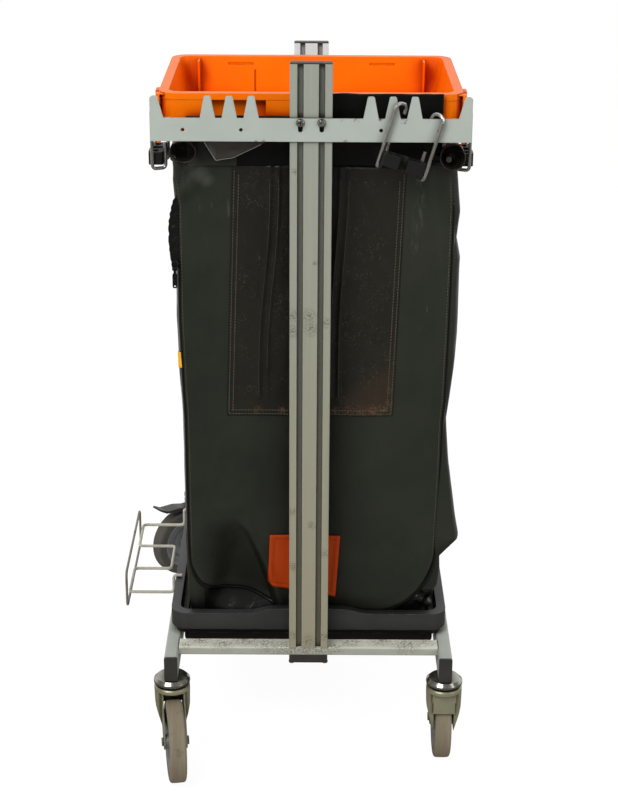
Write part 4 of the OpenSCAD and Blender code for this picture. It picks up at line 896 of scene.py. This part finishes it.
def door_edge(inset, left_top, right_top):
    down = [left_top + (left_foot - left_top) * i / 120 for i in range(121)]
    line = [(left_edge(z) + inset, z) for z in down]
    cx, cz, wide, tall, power = left_corner
    for i in range(41):
        a = math.pi / 2 * i / 40
        line.append((cx - (wide - inset) * max(math.cos(a), 0.0) ** (2 / power),
                     cz - (tall - inset) * math.sin(a) ** (2 / power)))
    line += [(x, door_low(x, inset)) for x in [-115 + 220 * i / 60 for i in range(1, 60)]]
    cx, cz, wide, tall, power = right_corner
    for i in range(41):
        a = math.pi / 2 * (1 - i / 40)
        line.append((cx + (wide - inset) * max(math.cos(a), 0.0) ** (2 / power),
                     cz - (tall - inset) * math.sin(a) ** (2 / power)))
    up = [right_foot + (right_top - right_foot) * i / 120 for i in range(121)]
    return line + [(right_edge(z) - inset, z) for z in up]


zip_left, zip_right = 778.0, 876.0
outer_edge, inner_edge = door_edge(0.3, zip_left, zip_right), door_edge(5.8, zip_left, zip_right)
zip_rows = []
for k in range(5):
    f = k / 4
    lift = 0.9 + 1.2 * math.sin(math.pi * f)
    zip_rows.append([front_at(a[0] * (1 - f) + b[0] * f, a[1] * (1 - f) + b[1] * f, lift)
                     for a, b in zip(outer_edge, inner_edge)])
zip_tape = cloth_grid("zip_tape_closed", zip_rows, zip_cloth, 0.5)
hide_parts("door_zip")


def beads(name, line, step, size, out, finish):
    points, faces = [], []
    left = 0.0
    block = ((-1, -1, 0), (1, -1, 0), (1, 1, 0), (-1, 1, 0),
             (-0.7, -0.6, 1), (0.7, -0.6, 1), (0.7, 0.6, 1), (-0.7, 0.6, 1))
    for (x0, z0), (x1, z1) in zip(line, line[1:]):
        run = math.hypot(x1 - x0, z1 - z0)
        while left < run:
            x, z = x0 + (x1 - x0) * left / run, z0 + (z1 - z0) * left / run
            ux, uz = (x1 - x0) / run, (z1 - z0) / run
            first = len(points)
            for a, b, c in block:
                px = x + ux * a * size[0] / 2 - uz * b * size[1] / 2
                pz = z + uz * a * size[0] / 2 + ux * b * size[1] / 2
                points.append(front_at(px, pz, out + c * size[2]))
            for ring in ((4, 5, 6, 7), (0, 1, 5, 4), (1, 2, 6, 5), (2, 3, 7, 6), (3, 0, 4, 7), (3, 2, 1, 0)):
                faces.append([first + i for i in ring])
            left += step
        left -= run
    mesh = bpy.data.meshes.new(name)
    mesh.from_pydata(points, [], faces)
    mesh.materials.append(finish)
    made = bpy.data.objects.new(name, mesh)
    scene.collection.objects.link(made)
    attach(made, "cart")
    return made


teeth_line, seam_line = door_edge(3.0, zip_left, zip_right), door_edge(8.6, 905.0, 905.0)
zip_teeth = beads("zip_teeth", teeth_line, 3.0, (1.6, 3.0, 0.7), 2.2, zip_cloth)
door_seam = beads("door_seam", seam_line, 4.8, (3.0, 1.0, 0.4), 2.2, thread_tan)
print("zip points:", len(zip_tape.data.vertices), len(zip_teeth.data.vertices))

# %% [markdown]
# Above the slider the zip is open, and the bag's half of the tape bulges out past the corner. It is a
# crumpled strip that leaves the bag, bows outwards and comes back, with teeth along its free edge. It is
# drawn from the line of its bow, because a straight strip bent by a modifier would not close at its ends.

# %% Open zip tape
bow_line = ((888, -185), (885, -187), (873, -193), (848, -198.2), (819, -199.8), (787, -197), (778, -195))
tape_rows = []
for i in range(11):
    row = []
    for c in range(71):
        z = 888 - 110 * c / 70
        inner = left_edge(z) + 5.5
        outer = along(bow_line, z) - 1.2 * ripple(c, 0, 3.1, 6.3)
        y = (front_at(inner, z, 1.8).y - front_y) * 1000
        crumple = 1.6 * ripple(i * 3, z, 7, 2.4) * math.sin(math.pi * i / 10)
        row.append(on_cart(inner + (outer - inner) * i / 10, y + 2.5 * i / 10 - crumple, z))
    tape_rows.append(row)
open_tape = cloth_grid("zip_tape_open", tape_rows, zip_cloth, 0.8, offset=0.0)
open_teeth = thin_round("zip_teeth_open", tape_rows[-1], 0.0013, zip_cloth)
print("open tape:", round(area_of(open_tape), 5), "square metres")

# %% [markdown]
# The document pocket is a clear-coated panel sewn on the door with two lines of stitching. It leans a
# little, and it has upright shiny folds where papers have bent it. The folds are real ridges in the
# grid and not bump, so that they also show from the side; a thin round of paler film along each fold is
# a painted highlight for its shine.

# %% Document pocket
pocket_corners = ((-109, 930), (133, 926), (121.5, 553.5), (-120.5, 554))


def across_corners(points, u, v):
    (ax, az), (bx, bz), (cx, cz), (dx, dz) = points
    x = (ax * (1 - u) + bx * u) * (1 - v) + (dx * (1 - u) + cx * u) * v
    z = (az * (1 - u) + bz * u) * (1 - v) + (dz * (1 - u) + cz * u) * v
    return x, z


def fold_places(v):
    left = 0.215 + 0.012 * math.sin(7 * v) - 0.03 * v
    right = 0.665 + 0.01 * math.sin(6 * v + 1)
    return left, left + 0.05, right, right - 0.05


pocket_rows = []
for i in range(101):
    row = []
    for c in range(141):
        u, v = c / 140, 1 - i / 100
        x, z = across_corners(pocket_corners, u, v)
        free = fade(min(u * 1.2, (1 - u) * 1.2, 1 - v), 0.045, 0.11)
        fold = sum(1.6 * hill(u, place, 0.013) for place in fold_places(v))
        fold += 1.2 * ripple(x, z * 0.3, 22, 6.1) + 0.7 * ripple(x * 2, z, 26, 3.1) + 1.2
        row.append(front_at(x, z, 2.6 + free * max(fold, 0.0)))
    pocket_rows.append(row)
document_pocket = cloth_grid("document_pocket_film", pocket_rows, pocket_film, 0.5)
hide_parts("document_pocket")


def frame_line(corner_points, inset):
    middle = (sum(p[0] for p in corner_points) / 4, sum(p[1] for p in corner_points) / 4)
    return [(x - math.copysign(inset, x - middle[0]), z - math.copysign(inset, z - middle[1]))
            for x, z in corner_points]


for i, inset in enumerate((2.5, 8.5)):
    tl, tr, br, bl = frame_line(pocket_corners, inset)
    line = [(tl[0], tl[1] - 8), bl, br, (tr[0], tr[1] - 8)]
    beads(f"pocket_seam_{i}", line, 4.4, (2.8, 1.3, 0.4), 3.2, thread_tan)
# The paler film along the folds is a painted highlight.
fold_highlight_film = hard_finish("fold highlight film", colour(46, 44, 36), colour(60, 57, 47), colour(40, 38, 30),
                          colour(90, 86, 74), 0.3, grain=1500)
for k in range(4):
    ridge = []
    for i in range(5, 93 - 12 * (k % 2)):
        spot = pocket_rows[100 - i][round(140 * fold_places(i / 100)[k])]
        x, z = across_corners(pocket_corners, fold_places(i / 100)[k], i / 100)
        ridge.append(Vector((on_cart(x, 0, z).x, spot.y - 0.0002, spot.z)))
    thin_round(f"pocket_fold_{k}", ridge, 0.0006, fold_highlight_film)
print("pocket film:", round(area_of(document_pocket), 4), "square metres")

# %% [markdown]
# The patch is a bare square of orange cloth, sewn on slightly askew with a raised edge and one line of
# stitches. Its four corners are joined by a grid that lies on the door, so that it bends with it.

# %% Patch
patch_corners = ((-58.6, 359.3), (46.9, 358.3), (40.5, 254.5), (-62, 274.5))
patch_rows = []
for i in range(41):
    row = []
    for c in range(41):
        u, v = c / 40, 1 - i / 40
        x, z = across_corners(patch_corners, u, v)
        edge = min(u, 1 - u, v, 1 - v)
        rim = 0.9 * fade(edge, 0, 0.03) * fade(edge, 0.075, 0.045)
        row.append(front_at(x, z, 2.8 + rim + 0.3 * fade(edge, 0.04, 0.2)))
    patch_rows.append(row)
bag_patch = cloth_grid("bare_patch", patch_rows, patch_cloth, 0.8)
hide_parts("bag_patch")
patch_line = frame_line(patch_corners, 6.5)
dark_thread = hard_finish("dark thread", colour(92, 30, 2), colour(112, 40, 4), colour(70, 30, 10),
                          colour(130, 60, 14), 0.7, grain=2000)
patch_seam = beads("patch_seam", patch_line + patch_line[:1], 4.0, (3.0, 0.9, 0.4), 3.7, dark_thread)
print("patch cloth:", round(area_of(bag_patch), 5), "square metres")

# %% [markdown]
# A small plain yellow tab is sewn into the left seam of the bag. It is a loop of tape, so it is a
# narrow strip bent back on itself. A block would look the same from the front, but not from below.

# %% Yellow tab
bend = [(-8, 2.2), (-3, 2.6), (0, 2.4), (1.8, 1.4), (2.4, 0.0), (1.8, -1.4), (0, -2.4), (-3, -2.6), (-8, -2.2)]
tab_rows = []
for i in range(9):
    z = 649 - 24 * i / 8
    tab_rows.append([on_cart(left_edge(z) + 0.4 - x, 54 + y, z) for x, y in bend])
side_tab = cloth_grid("side_tab", tab_rows, tab_cloth, 0.4)
print("tab cloth:", round(area_of(side_tab), 5), "square metres")

# %% Finish
low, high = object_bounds()
print("visual box:", [round(v, 4) for v in low], [round(v, 4) for v in high])
